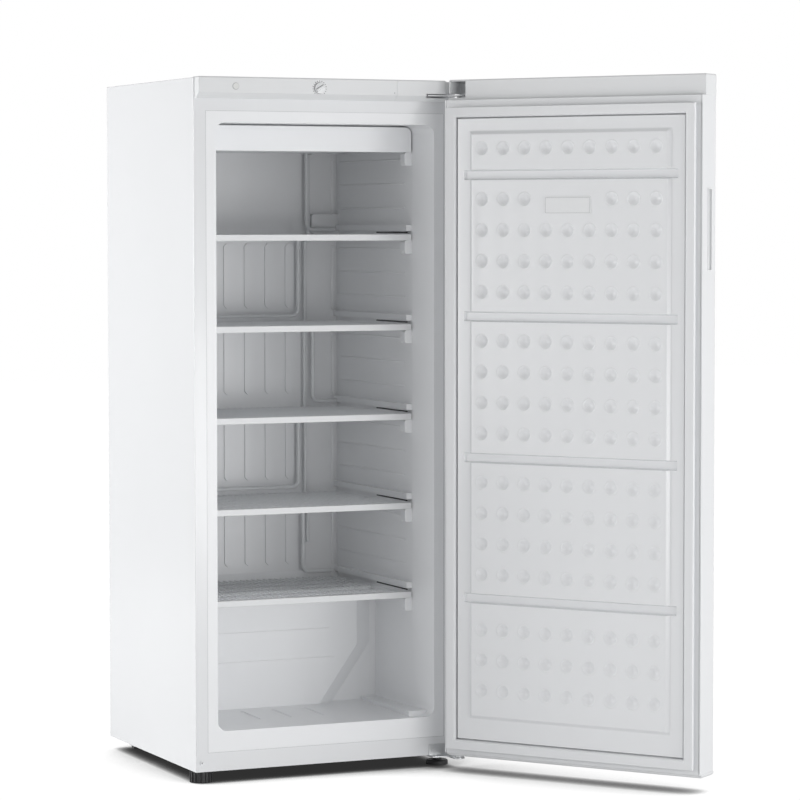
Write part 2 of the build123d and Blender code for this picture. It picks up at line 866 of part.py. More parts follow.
def hinge_arm(z, thickness, reach_left, reach_right):
    """Flat arm from the cabinet's front to the hinge pin, rounded at the pin."""
    shoulder = panel_depth - steel
    with BuildPart() as arm:
        with BuildSketch(level(z)):
            Polygon(
                (reach_left, 0),
                (reach_left, -shoulder),
                (hinge_x - hinge_neck / 2, -shoulder - arm_step),
                (hinge_x - hinge_neck / 2, -hinge_y),
                (hinge_x + hinge_neck / 2, -hinge_y),
                (reach_right, -shoulder),
                (reach_right, 0),
                align=None,
            )
            with Locations((hinge_x, -hinge_y)):
                Circle(hinge_neck / 2)
        extrude(amount=thickness)
    return arm.part


upper_arm = hinge_arm(hinge_plate_z, hinge_plate, hinge_leg_left, hinge_x + arm_reach)
lower_arm = hinge_arm(foot_height - hinge_plate, hinge_plate, lower_leg_left, lower_leg_right)
upper_screw_z = hinge_plate_z + upper_screw_rise
lower_screw_z = foot_height + lower_screw_rise
upper_screws = [(hinge_leg_left + screw_edge, upper_screw_z), (hinge_leg_right - screw_edge, upper_screw_z)]
lower_screws = [(lower_leg_left + screw_edge, lower_screw_z),
                (lower_leg_right - lower_screw_edge, lower_screw_z)]
with BuildPart() as top_hinge_bracket:
    add(upper_arm)
    block(hinge_leg_left, hinge_leg_right, -hinge_plate, 0, hinge_plate_z, hinge_plate_z + hinge_leg_height)
    with BuildSketch(level(hinge_plate_z)):
        with Locations((hinge_x, -hinge_y)):
            Circle(pin_diameter / 2)
    extrude(amount=-pin_length)
    with BuildSketch(front(-hinge_plate)):
        with Locations(*upper_screws):
            RegularPolygon(screw_diameter / 2, screw_sides)
    extrude(amount=-hinge_plate, mode=Mode.SUBTRACT)
top_hinge_bracket.part.label = "top_hinge_bracket"
export_step(top_hinge_bracket.part, "parts/top_hinge_bracket.step")

with BuildPart() as bottom_hinge_bracket:
    add(lower_arm)
    block(lower_leg_left, lower_leg_right, 0, foot_y + foot_plate_margin, foot_height - hinge_plate,
          foot_height)
    block(lower_leg_left, lower_leg_right, -hinge_plate, 0, foot_height - hinge_plate,
          foot_height + lower_leg)
    with BuildSketch(level(foot_height)):
        with Locations((hinge_x, -hinge_y)):
            Circle(pin_diameter / 2 + collar_wall)
    extrude(amount=collar_height)
    with BuildSketch(level(foot_height)):
        with Locations((hinge_x, -hinge_y)):
            Circle(pin_diameter / 2)
    extrude(amount=pin_length)
    with BuildSketch(level(foot_height)):
        with Locations((foot_x, foot_y)):
            Circle(stud_diameter / 2 + stud_clearance)
    extrude(amount=-hinge_plate, mode=Mode.SUBTRACT)
    with BuildSketch(front(-hinge_plate)):
        with Locations(*lower_screws):
            RegularPolygon(screw_diameter / 2, screw_sides)
    extrude(amount=-hinge_plate, mode=Mode.SUBTRACT)
bottom_hinge_bracket.part.label = "bottom_hinge_bracket"
export_step(bottom_hinge_bracket.part, "parts/bottom_hinge_bracket.step")

with BuildPart() as hinge_screws:
    with BuildSketch(front(-hinge_plate)):
        with Locations(*upper_screws, *lower_screws):
            RegularPolygon(screw_diameter, 6)
    extrude(amount=screw_head)
    with BuildSketch(front(-hinge_plate)):
        with Locations(*upper_screws, *lower_screws):
            RegularPolygon(screw_diameter / 2, screw_sides)
    extrude(amount=-hinge_plate)
hinge_screws.part.label = "hinge_screws"
export_step(hinge_screws.part, "parts/hinge_screws.step")

with BuildPart() as corner_screw:
    with BuildSketch(front(0)):
        with Locations((corner_screw_inset - half_width, foot_height + corner_screw_rise)):
            Circle(corner_screw_head / 2)
    extrude(amount=screw_head)
corner_screw.part.label = "corner_screw"
export_step(corner_screw.part, "parts/corner_screw.step")


# ================= door =================


def door_shell(inset, low, high):
    """The door's outer block, rounded along its two front edges, drawn in by the inset."""
    with BuildPart() as body:
        door_block(inset, cabinet_width - inset, inset - door_thickness, -liner_plate, low, high)
        outer = body.edges().filter_by(Axis.Z).sort_by(lambda e: inward_way.dot(e.center()))[:2]
        fillet(outer, radius=door_corner - inset)
    return body.part


skin_outside = door_shell(0, door_skin_bottom, door_skin_top)
skin_inside = door_shell(steel, door_skin_bottom, door_skin_top)
handle_mid = (handle_bottom + handle_top) / 2
handle_n = -handle_near - handle_width / 2
handle_tall = handle_top - handle_bottom

with BuildPart() as door_skin:
    add(skin_outside)
    add(skin_inside, mode=Mode.SUBTRACT)
    for u in (steel, cabinet_width - steel - rim_return):
        door_block(u, u + rim_return, -liner_plate - steel, -liner_plate, door_skin_bottom, door_skin_top)
    for u in (0, cabinet_width - hem_width):
        door_block(u, u + hem_width, -liner_plate, 0, door_skin_bottom, door_skin_top)
    with BuildSketch(door_side(cabinet_width + steel)):
        with Locations((handle_n, handle_mid)):
            Rectangle(handle_width - 2 * handle_wall, handle_tall - 2 * handle_wall)
    extrude(amount=3 * steel, mode=Mode.SUBTRACT)
door_skin.part.label = "door_skin"
export_step(door_skin.part, "parts/door_skin.step")


def pin_round(z, radius, amount, mode=Mode.ADD):
    """A cylinder about the hinge axis, upward from this height."""
    with Locations((pin_place.X, pin_place.Y, z + amount / 2)):
        Cylinder(radius, amount, mode=mode)


def end_cap(low, high, set_back):
    """A solid end cap standing a little proud of the skin's face."""
    with BuildPart() as cap:
        door_block(0, cabinet_width, -door_thickness - cap_proud, -set_back, low, high)
        outer = cap.edges().filter_by(Axis.Z).sort_by(lambda e: inward_way.dot(e.center()))[:2]
        fillet(outer, radius=cap_corner)
    return cap.part


top_cap_block = end_cap(door_skin_top, door_top, top_cap_set_back)
bottom_cap_block = end_cap(door_bottom, door_skin_bottom, bottom_cap_set_back)
boss_radius = boss_diameter / 2
top_bore = hinge_plate_z - pin_length - pin_end_gap
with BuildPart() as door_top_cap:
    add(top_cap_block)
    rim = door_top_cap.edges().group_by(Axis.Z)[-1]
    fillet(rim, radius=cap_edge)
    door_block(-cap_edge, pocket_width, pocket_wall - door_thickness - cap_proud, 0,
               pocket_floor, door_top - pocket_roof, Mode.SUBTRACT)
    pin_round(top_bore, boss_radius, pocket_floor - top_bore)
    pin_round(top_bore, bush_diameter / 2, pocket_floor - top_bore, Mode.SUBTRACT)
door_top_cap.part.label = "door_top_cap"
export_step(door_top_cap.part, "parts/door_top_cap.step")

bottom_bore = foot_height + pin_length + pin_end_gap
with BuildPart() as door_bottom_cap:
    add(bottom_cap_block)
    rim = door_bottom_cap.edges().group_by(Axis.Z)[0]
    chamfer(rim, length=cap_edge)
    pin_round(door_skin_bottom, boss_radius, bottom_bore - door_skin_bottom)
    pin_round(door_bottom, bush_diameter / 2, bottom_bore - door_bottom, Mode.SUBTRACT)
door_bottom_cap.part.label = "door_bottom_cap"
export_step(door_bottom_cap.part, "parts/door_bottom_cap.step")

with BuildPart() as hinge_bushes:
    pin_round(top_bore, bush_diameter / 2, pocket_floor - top_bore)
    pin_round(door_bottom, bush_diameter / 2, bottom_bore - door_bottom)
    pin_round(0, pin_diameter / 2 + running_fit, door_top, Mode.SUBTRACT)
hinge_bushes.part.label = "hinge_bushes"
export_step(hinge_bushes.part, "parts/hinge_bushes.step")

with BuildPart() as handle_cup:
    with BuildSketch(door_side(cabinet_width)):
        with Locations((handle_n, handle_mid)):
            Rectangle(handle_width, handle_tall)
    extrude(amount=-handle_flange)
    rim = handle_cup.edges().filter_by(lambda e: abs(e.tangent_at(0).dot(width_way)) > 0.9)
    fillet(rim, radius=handle_corner)
    with BuildSketch(door_side(cabinet_width)):
        with Locations((handle_n, handle_mid)):
            Rectangle(handle_width - 2 * handle_wall, handle_tall - 2 * handle_wall)
    extrude(amount=handle_depth)
    with BuildSketch(door_side(cabinet_width + handle_flange)):
        with Locations((handle_n, handle_mid)):
            Rectangle(handle_width - 3 * handle_wall, handle_tall - 3 * handle_wall)
    extrude(amount=handle_depth + handle_flange - handle_wall, mode=Mode.SUBTRACT)
handle_cup.part.label = "handle_cup"
export_step(handle_cup.part, "parts/handle_cup.step")

# The door liner: a plate with a raised frame, a raised panel, grooves and dimples.
panel_n = frame_rise + raised_height
panel_mid = (panel_high + panel_low) / 2
panel_tall = panel_high - panel_low
middle_u = cabinet_width / 2
dimple_rows = [groove_levels[0] + first_row_rise]
for groove in groove_levels[:-1]:
    dimple_rows += [groove - row_drop - k * dimple_row_pitch for k in range(pocket_rows)]
dimple_rows += [groove_levels[-1] - (k + 1) * dimple_row_pitch for k in range(low_pocket_rows)]
plate_mid = plate_bottom + plate_height / 2
dimple_places = []
for z in dimple_rows:
    for k in range(-dimple_columns, dimple_columns + 1):
        if abs(z - plate_mid) > plate_height or abs(k) * dimple_pitch > plate_width / 2:
            dimple_places.append((middle_u + k * dimple_pitch, z))

pocket_limits = [panel_high, *groove_levels, panel_low]
pocket_spans = []
for high, low in zip(pocket_limits, pocket_limits[1:]):
    pocket_spans.append((low + pad_rim, high - pad_rim))


def panel_pads():
    """Filling behind the raised panel, between its grooves, flush with the plate's back."""
    edge = panel_inset + raised_bevel + raised_skin
    for low, high in pocket_spans:
        door_block(edge, cabinet_width - edge, -liner_plate, panel_n - raised_skin, low, high)


with BuildPart() as pad_tool:
    panel_pads()

dimple_lean = degrees(atan((dimple_diameter - dimple_floor) / 2 / dimple_depth))
with BuildPart() as dimple_tool:
    with BuildSketch(door_face(0)):
        RegularPolygon(dimple_diameter / 2, dimple_sides, major_radius=False)
    extrude(amount=-dimple_depth, taper=dimple_lean)

with BuildPart() as door_liner:
    with BuildSketch(door_face(-liner_plate)):
        with Locations((middle_u, (door_skin_bottom + door_skin_top) / 2)):
            Rectangle(cabinet_width - 2 * liner_inset,
                      door_skin_top - door_skin_bottom - 2 * liner_end_gap)
    extrude(amount=liner_plate)
    with BuildSketch(door_face(0)):
        with Locations((middle_u, (frame_top + frame_bottom) / 2)):
            RectangleRounded(cabinet_width - 2 * frame_inset, frame_top - frame_bottom, frame_corner)
    extrude(amount=frame_rise)
    with BuildSketch(door_face(frame_rise)):
        with Locations((middle_u, panel_mid)):
            Rectangle(panel_width, panel_tall)
    extrude(amount=raised_height, taper=degrees(atan(raised_bevel / raised_height)))
    groove_lean = degrees(atan((groove_open - groove_floor) / 2 / groove_depth))
    for z in groove_levels:
        with BuildSketch(door_face(panel_n)):
            with Locations((middle_u, z)):
                Rectangle(panel_width + 2 * groove_overrun, groove_open)
        extrude(amount=-groove_depth, taper=groove_lean, mode=Mode.SUBTRACT)
    with Locations(*[width_way * u + inward_way * panel_n + Vector(0, 0, z) for u, z in dimple_places]):
        add(dimple_tool.part, mode=Mode.SUBTRACT)
    add(pad_tool.part, mode=Mode.SUBTRACT)
    with BuildSketch(door_face(frame_rise)):
        with Locations((vent_start + (vent_count - 1) * vent_pitch / 2, vent_z)):
            with GridLocations(vent_pitch, 1, vent_count, 1):
                RegularPolygon(vent_diameter / 2, vent_sides)
    extrude(amount=-liner_plate, mode=Mode.SUBTRACT)
door_liner.part.label = "door_liner"
export_step(door_liner.part, "parts/door_liner.step")

with BuildPart() as bare_plate:
    with BuildSketch(door_face(panel_n)):
        with Locations((middle_u, plate_mid)):
            Rectangle(plate_width, plate_height)
    extrude(amount=plate_thickness)
    rim = bare_plate.edges().filter_by(lambda e: abs(e.tangent_at(0).dot(inward_way)) > 0.9)
    fillet(rim, radius=plate_corner)
bare_plate.part.label = "bare_plate"
export_step(bare_plate.part, "parts/bare_plate.step")

with BuildPart() as door_foam:
    add(skin_inside)
    panel_pads()
    add(door_skin.part, mode=Mode.SUBTRACT)
    pin_round(top_bore, boss_radius, door_top - top_bore, Mode.SUBTRACT)
    pin_round(door_bottom, boss_radius, bottom_bore - door_bottom, Mode.SUBTRACT)
    with BuildSketch(door_side(cabinet_width)):
        with Locations((handle_n, handle_mid)):
            Rectangle(handle_width - 2 * handle_wall, handle_tall - 2 * handle_wall)
    extrude(amount=handle_depth, mode=Mode.SUBTRACT)
door_foam.part.label = "door_foam"
export_step(door_foam.part, "parts/door_foam.step")


def gasket_ring(inset, width, low, high):
    """A rectangular ring of the gasket's section between two heights above the rim."""
    gasket_tall = frame_top - frame_bottom + 2 * gasket_width
    with BuildPart(mode=Mode.PRIVATE) as ring:
        with BuildSketch(door_face(low)):
            with Locations((middle_u, (frame_top + frame_bottom) / 2)):
                outer = gasket_inset + inset
                Rectangle(cabinet_width - 2 * outer, gasket_tall - 2 * inset)
                inner = outer + width
                Rectangle(cabinet_width - 2 * inner, gasket_tall - 2 * inset - 2 * width,
                          mode=Mode.SUBTRACT)
        extrude(amount=high - low)
    return ring.part


neck = (gasket_width - gasket_neck) / 2
magnet_in = (gasket_width - magnet_width) / 2
magnet_low = gasket_height - gasket_skin - magnet_height
gasket_rings = [
    gasket_ring(0, gasket_width, gasket_height - gasket_head, gasket_height),
    gasket_ring(neck, gasket_neck, gasket_base, gasket_height - gasket_head),
    gasket_ring(gasket_base, gasket_width - 2 * gasket_base, 0, gasket_base),
]
magnet_ring = gasket_ring(magnet_in, magnet_width, magnet_low, magnet_low + magnet_height)
with BuildPart() as door_gasket:
    for ring in gasket_rings:
        add(ring)
    add(magnet_ring, mode=Mode.SUBTRACT)
door_gasket.part.label = "door_gasket"
export_step(door_gasket.part, "parts/door_gasket.step")

with BuildPart() as magnet_strips:
    add(magnet_ring)
magnet_strips.part.label = "magnet_strips"
export_step(magnet_strips.part, "parts/magnet_strips.step")

# ================= feet, rollers and machine bay =================

with BuildPart() as front_foot_left:
    with BuildSketch(level(0)):
        with Locations((-foot_x, foot_y)):
            Circle(foot_diameter / 2)
            with PolarLocations(foot_diameter / 2, flute_count):
                Rectangle(2 * flute_depth, flute_width, mode=Mode.SUBTRACT)
    extrude(amount=left_foot_body)
    with BuildSketch(level(left_foot_body)):
        with Locations((-foot_x, foot_y)):
            Circle(stud_diameter / 2)
    extrude(amount=stud_top - left_foot_body)
front_foot_left.part.label = "front_foot_left"
export_step(front_foot_left.part, "parts/front_foot_left.step")

with BuildPart() as front_foot_right:
    with BuildSketch(level(0)):
        with Locations((foot_x, foot_y)):
            Circle(foot_diameter / 2)
    extrude(amount=right_foot_body)
    chamfer(front_foot_right.edges().group_by(Axis.Z)[-1], length=right_foot_edge)
    with BuildSketch(level(right_foot_body)):
        with Locations((foot_x, foot_y)):
            Circle(foot_hub / 2)
    extrude(amount=foot_hub_top - right_foot_body)
    with BuildSketch(level(foot_hub_top)):
        with Locations((foot_x, foot_y)):
            Circle(stud_diameter / 2)
    extrude(amount=stud_top - foot_hub_top)
front_foot_right.part.label = "front_foot_right"
export_step(front_foot_right.part, "parts/front_foot_right.step")

with BuildPart() as rear_panel:
    panel_reach = half_width - rear_panel_inset
    block(-panel_reach, panel_reach, cabinet_depth, cabinet_depth + bay_steel,
          bay_top, cabinet_top - rear_panel_inset)
rear_panel.part.label = "rear_panel"
export_step(rear_panel.part, "parts/rear_panel.step")

tray_front = bay_front + tray_set_back
with BuildPart() as base_tray:
    block(-bay_width / 2, bay_width / 2, tray_front, cabinet_depth, tray_z, tray_z + tray_steel)
    for y in (tray_front, cabinet_depth - tray_steel):
        block(-bay_width / 2, bay_width / 2, y, y + tray_steel, tray_z, tray_z + tray_rim)
    mirrored_block(bay_width / 2 - tray_steel, bay_width / 2, tray_front, cabinet_depth,
                   tray_z, tray_z + tray_rim)
    bolt_places = [(compressor_x + a * mount_spread_x / 2, compressor_y + b * mount_spread_y / 2)
                   for a in (-1, 1) for b in (-1, 1)]
    with BuildSketch(level(tray_z)):
        with Locations(*bolt_places):
            RegularPolygon(bolt_diameter / 2, bolt_sides)
    extrude(amount=tray_steel, mode=Mode.SUBTRACT)
base_tray.part.label = "base_tray"
export_step(base_tray.part, "parts/base_tray.step")

roller_z = roller_diameter / 2
for name, x in (("left", -roller_x), ("right", roller_x)):
    with BuildPart() as rear_roller:
        with BuildSketch(side(x - roller_width / 2)):
            with Locations((roller_y, roller_z)):
                Circle(roller_diameter / 2)
                Circle(axle_diameter / 2 + running_fit, mode=Mode.SUBTRACT)
        extrude(amount=roller_width)
    rear_roller.part.label = f"rear_roller_{name}"
    export_step(rear_roller.part, f"parts/rear_roller_{name}.step")

with BuildPart() as roller_brackets:
    inside = roller_width / 2 + roller_play
    cheek_front = roller_y - cheek_length / 2
    cheek_rear = roller_y + cheek_length / 2
    for x in (-roller_x, roller_x):
        for x0 in (x - inside - cheek, x + inside):
            block(x0, x0 + cheek, cheek_front, cheek_rear, roller_z - cheek_below, tray_z)
        block(x - inside - cheek, x + inside + cheek, cheek_front, cheek_rear,
              tray_z - cheek_bridge, tray_z)
        with BuildSketch(side(x - inside - 2 * cheek)):
            with Locations((roller_y, roller_z)):
                Circle(axle_diameter / 2)
        extrude(amount=2 * inside + 4 * cheek)
roller_brackets.part.label = "roller_brackets"
export_step(roller_brackets.part, "parts/roller_brackets.step")

plate_z = tray_z + tray_steel + compressor_lift
shell_z = plate_z + base_thickness
with BuildPart() as compressor:
    with BuildSketch(level(shell_z)):
        with Locations((compressor_x, compressor_y)):
            SlotOverall(compressor_length, compressor_width)
    extrude(amount=compressor_height - base_thickness)
    chamfer(compressor.edges().group_by(Axis.Z)[-1], length=compressor_shoulder)
    chamfer(compressor.edges().group_by(Axis.Z)[0], length=compressor_base)
    with BuildSketch(level(plate_z)):
        with Locations((compressor_x, compressor_y)):
            RectangleRounded(mount_spread_x + base_margin, mount_spread_y + base_margin, base_corner)
        with Locations(*bolt_places):
            RegularPolygon(bolt_diameter / 2, bolt_sides, mode=Mode.SUBTRACT)
    extrude(amount=base_thickness)
compressor.part.label = "compressor"
export_step(compressor.part, "parts/compressor.step")

with BuildPart() as compressor_mounts:
    with BuildSketch(level(tray_z + tray_steel)):
        with Locations(*bolt_places):
            RegularPolygon(mount_diameter / 2, mount_sides)
            RegularPolygon(bolt_diameter / 2, bolt_sides, mode=Mode.SUBTRACT)
    extrude(amount=compressor_lift)
compressor_mounts.part.label = "compressor_mounts"
export_step(compressor_mounts.part, "parts/compressor_mounts.step")

with BuildPart() as compressor_bolts:
    with BuildSketch(level(tray_z)):
        with Locations(*bolt_places):
            RegularPolygon(bolt_diameter / 2, bolt_sides)
    extrude(amount=shell_z - tray_z)
    with BuildSketch(level(shell_z)):
        with Locations(*bolt_places):
            RegularPolygon(0.8 * bolt_diameter, 6)
    extrude(amount=bolt_head)
compressor_bolts.part.label = "compressor_bolts"
export_step(compressor_bolts.part, "parts/compressor_bolts.step")

with BuildPart() as relay_cover:
    relay_right = compressor_x - compressor_length / 2 + relay_overlap
    block(relay_right - relay_length, relay_right, compressor_y - relay_width / 2,
          compressor_y + relay_width / 2, plate_z + relay_rise, plate_z + relay_rise + relay_height)
    fillet(relay_cover.edges().filter_by(Axis.Z), radius=relay_round)
    add(compressor.part, mode=Mode.SUBTRACT)
relay_cover.part.label = "relay_cover"
export_step(relay_cover.part, "parts/relay_cover.step")

condenser_y = cabinet_depth + bay_steel + condenser_stand_off
condenser_top = condenser_bottom + (condenser_passes - 1) * condenser_pitch
with BuildPart() as condenser_coil:
    corners = serpentine(condenser_width, condenser_passes, condenser_pitch, condenser_bottom)
    add(bent_tube(front(condenser_y), corners, condenser_tube, condenser_cut))
condenser_coil.part.label = "condenser_coil"
export_step(condenser_coil.part, "parts/condenser_coil.step")

wire_y = condenser_y + condenser_tube / 2
wire_reach = condenser_top - condenser_bottom + 2 * condenser_over
wire_gap = condenser_width / (condenser_slots + 1)
with BuildPart() as condenser_wires_part:
    with BuildSketch(front(wire_y)):
        with Locations((0, (condenser_top + condenser_bottom) / 2)):
            Rectangle(condenser_slots * wire_gap + condenser_wire, wire_reach)
            with GridLocations(wire_gap, 1, condenser_slots, 1):
                Rectangle(wire_gap - condenser_wire, wire_reach - 2 * condenser_wire,
                          mode=Mode.SUBTRACT)
    extrude(amount=-condenser_wire)
condenser_wires_part.part.label = "condenser_wires"
export_step(condenser_wires_part.part, "parts/condenser_wires.step")

with BuildPart() as condenser_brackets:
    bracket_x = condenser_width / 2 - bracket_inset
    for z in (condenser_bottom, condenser_top):
        mirrored_block(bracket_x - bracket_width / 2, bracket_x + bracket_width / 2,
                       cabinet_depth + bay_steel, condenser_y - condenser_tube / 2,
                       z - bracket_height / 2, z + bracket_height / 2)
condenser_brackets.part.label = "condenser_brackets"
export_step(condenser_brackets.part, "parts/condenser_brackets.step")

drier_y = bay_front + drier_diameter / 2
with BuildPart() as filter_drier:
    with Locations((drier_x - centre_x, drier_y - centre_y, drier_z)):
        Cylinder(drier_diameter / 2, drier_length)
    chamfer(filter_drier.edges().filter_by(GeomType.CIRCLE), length=drier_diameter / 3)
filter_drier.part.label = "filter_drier"
export_step(filter_drier.part, "parts/filter_drier.step")


def bay_tube(points, diameter):
    """A six-sided tube along these cabinet places, mitred at every bend."""
    places = [Vector(x - centre_x, y - centre_y, z) for x, y, z in points]
    return bent_tube(Plane.XY, places, diameter, tube_turn)


suction_x = compressor_x + compressor_length / 2 + suction_reach
discharge_y = compressor_y + discharge_side
outlet_z = plate_z + compressor_height / 2
outer_y = condenser_y - discharge_set_in
with BuildPart() as refrigerant_tubes:
    add(bay_tube([(compressor_x, compressor_y, outlet_z), (suction_x, compressor_y, outlet_z),
                  (suction_x, compressor_y, bay_top - bay_steel)], tube_diameter))
    add(bay_tube([(compressor_x, discharge_y, outlet_z), (discharge_x, discharge_y, outlet_z),
                  (discharge_x, outer_y, outlet_z),
                  (discharge_x, outer_y, condenser_bottom - discharge_gap)], condenser_tube))
    add(compressor.part, mode=Mode.SUBTRACT)
refrigerant_tubes.part.label = "refrigerant_tubes"
export_step(refrigerant_tubes.part, "parts/refrigerant_tubes.step")

inlet_back = cabinet_depth - tray_steel
inlet_low = tray_z + tray_steel
with BuildPart() as power_inlet:
    block(inlet_x - inlet_width / 2, inlet_x + inlet_width / 2, inlet_back - inlet_length,
          inlet_back, inlet_low, inlet_low + inlet_height)
    fillet(power_inlet.edges().filter_by(Axis.Y), radius=inlet_round)
    socket_half = inlet_width / 2 - inlet_wall
    block(inlet_x - socket_half, inlet_x + socket_half, inlet_back - inlet_length + inlet_floor,
          cabinet_depth, tray_z + tray_rim + inlet_sill, inlet_low + inlet_height - inlet_wall,
          Mode.SUBTRACT)
power_inlet.part.label = "power_inlet"
export_step(power_inlet.part, "parts/power_inlet.step")
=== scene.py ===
import json
import math

import bmesh
import bpy
from mathutils import Matrix, Vector

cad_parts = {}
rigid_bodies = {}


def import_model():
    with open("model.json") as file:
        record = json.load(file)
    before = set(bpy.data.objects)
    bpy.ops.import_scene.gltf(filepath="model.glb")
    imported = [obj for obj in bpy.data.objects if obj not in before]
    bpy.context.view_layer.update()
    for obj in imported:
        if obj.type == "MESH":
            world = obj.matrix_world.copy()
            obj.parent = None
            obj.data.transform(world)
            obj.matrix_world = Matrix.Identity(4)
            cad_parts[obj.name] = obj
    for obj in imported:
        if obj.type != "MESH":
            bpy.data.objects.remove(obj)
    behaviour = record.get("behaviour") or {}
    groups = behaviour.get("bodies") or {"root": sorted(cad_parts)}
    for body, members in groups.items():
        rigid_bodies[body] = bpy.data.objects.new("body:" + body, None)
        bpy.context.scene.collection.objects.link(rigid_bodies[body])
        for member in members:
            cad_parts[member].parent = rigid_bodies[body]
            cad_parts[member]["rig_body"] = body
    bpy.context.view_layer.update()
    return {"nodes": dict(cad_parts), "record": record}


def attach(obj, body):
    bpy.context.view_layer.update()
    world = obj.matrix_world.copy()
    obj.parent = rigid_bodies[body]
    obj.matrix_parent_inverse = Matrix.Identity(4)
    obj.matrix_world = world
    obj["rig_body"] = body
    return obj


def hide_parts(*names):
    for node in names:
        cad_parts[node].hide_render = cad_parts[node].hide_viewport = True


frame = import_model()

nodes = frame["nodes"]

# The cabinet is drawn from its front flange plane and centre line, the door from its rim and hinge edge.
cabinetFrame = Matrix.Translation((-0.159, -0.004, 0.0))
widthWay = Vector((0.57928, -0.81513, 0.0))
inwardWay = Vector((-0.81513, -0.57928, 0.0))
doorFrame = Matrix.Translation((0.06546, -0.05539, 0.0)) @ Matrix(
    (
        (widthWay.x, 0.0, inwardWay.x, 0.0),
        (widthWay.y, 0.0, inwardWay.y, 0.0),
        (0.0, 1.0, 0.0, 0.0),
        (0.0, 0.0, 0.0, 1.0),
    )
)  # x along the door, y up, z out of its inner face

# Metres, degrees and millimetres of lens.
camera = {
    "place": (-2.5802, -5.6514, 1.0553),
    "turn": (86.882, 0.043, -24.504),
    "lens": 145.24,
    "sensor": 36.0,
    "far": 50.0,
}


def placeCamera():
    data = bpy.data.cameras.new("camera")
    data.sensor_width = camera["sensor"]
    data.lens = camera["lens"]
    data.clip_end = camera["far"]
    eye = bpy.data.objects.new("camera", data)
    eye.location = camera["place"]
    eye.rotation_euler = [math.radians(a) for a in camera["turn"]]
    bpy.context.scene.collection.objects.link(eye)
    bpy.context.scene.camera = eye


# Each lamp: its place, what it looks at, its size in metres and its power in watts.
studio = {
    "floorHalf": 15000.0,
    "floorColour": (0.93, 0.93, 0.93, 1.0),
    "floorRough": 0.9,
    "floorShine": 0.1,
    "shadeReach": 0.35,
    "shadeOpen": (0.08, 0.60),
    "shadePower": 2.0,
    "shadeLeast": 0.03,
    "white": (1.0, 1.0, 1.0, 1.0),
    "fillStrength": 0.42,
    "lamps": {
        "leftBox": ((-3.5, 0.5, 0.95), (0.0, 0.1, 0.75), (1.3, 2.2), 43.0),
        "sideBox": ((-3.2, 1.9, 1.1), (0.0, 0.1, 0.75), (1.3, 2.2), 33.0),
        "rightBox": ((2.6, -3.6, 1.1), (0.0, 0.0, 0.8), (1.6, 2.2), 43.0),
        "edgeBox": ((3.4, -2.4, 1.2), (0.2, -0.3, 0.8), (1.4, 2.2), 18.0),
        "lowBox": ((0.6, -3.6, 0.45), (0.0, 0.0, 0.6), (2.0, 0.7), 25.0),
    },
}


def addNode(tree, kind, values=None):
    node = tree.nodes.new("ShaderNode" + kind)
    for label, value in (values or {}).items():
        node.inputs[label].default_value = value
    return node


def buildWorld():
    world = bpy.data.worlds.new("studio")
    world.use_nodes = True
    tree = world.node_tree
    fill = tree.nodes["Background"]
    fill.inputs["Strength"].default_value = studio["fillStrength"]
    fill.inputs["Color"].default_value = studio["white"]
    paper = addNode(tree, "Background", {"Color": studio["white"]})
    seen = addNode(tree, "LightPath")
    choose = addNode(tree, "MixShader")
    tree.links.new(seen.outputs["Is Camera Ray"], choose.inputs["Fac"])
    tree.links.new(fill.outputs["Background"], choose.inputs[1])
    tree.links.new(paper.outputs["Background"], choose.inputs[2])
    tree.links.new(choose.outputs["Shader"], tree.nodes["World Output"].inputs["Surface"])
    bpy.context.scene.world = world


def buildStudio():
    buildWorld()
    bm = bmesh.new()
    bmesh.ops.create_grid(bm, x_segments=1, y_segments=1, size=studio["floorHalf"])
    floor = makeObject("studioFloor", bm, Matrix.Identity(4))
    floor.data.materials.append(floorPaintedShadow())
    for name, (place, target, size, power) in studio["lamps"].items():
        lamp = bpy.data.lights.new(name, "AREA")
        lamp.shape = "RECTANGLE"
        lamp.size, lamp.size_y = size
        lamp.energy = power
        holder = bpy.data.objects.new(name, lamp)
        holder.location = place
        aim = Vector(target) - Vector(place)
        holder.rotation_euler = aim.to_track_quat("-Z", "Z").to_euler()
        bpy.context.scene.collection.objects.link(holder)
    bpy.context.scene.view_settings.view_transform = "Standard"


# Degrees, metres and counts for the rounding of edges.
softening = {"steps": 2, "sharper": 28.0, "smooth": 40.0, "merge": 1e-6, "flat": 0.6, "barShare": 0.4}


def linkObject(name, mesh):
    piece = bpy.data.objects.new(name, mesh)
    bpy.context.scene.collection.objects.link(piece)
    return piece


def makeObject(name, bm, place=cabinetFrame, finish=None, body=None):
    # Millimetres in the given frame become metres in the row frame.
    bm.transform(place @ Matrix.Scale(0.001, 4))
    mesh = bpy.data.meshes.new(name)
    bm.to_mesh(mesh)
    bm.free()
    piece = linkObject(name, mesh)
    if finish:
        mesh.materials.append(finishOf[finish])
    if body:
        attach(piece, body)
    return piece


def smoothByAngle(piece, angle=35.0):
    piece.data.shade_smooth()
    piece.data.set_sharp_from_angle(angle=math.radians(angle))


def addPiece(name, bm, place, finish, body):
    piece = makeObject(name, bm, place, finish, body)
    smoothByAngle(piece)
    return piece


def edgesOf(verts):
    return list({e for v in verts for e in v.link_edges})


def roundEdges(bm, edges, width, steps, clamp=True):
    bmesh.ops.bevel(bm, geom=edges, offset=width, segments=steps, profile=0.5, material=-1,
                    affect="EDGES", clamp_overlap=clamp)


def bends(edge, degrees):
    return len(edge.link_faces) == 2 and edge.calc_face_angle(0.0) > math.radians(degrees)


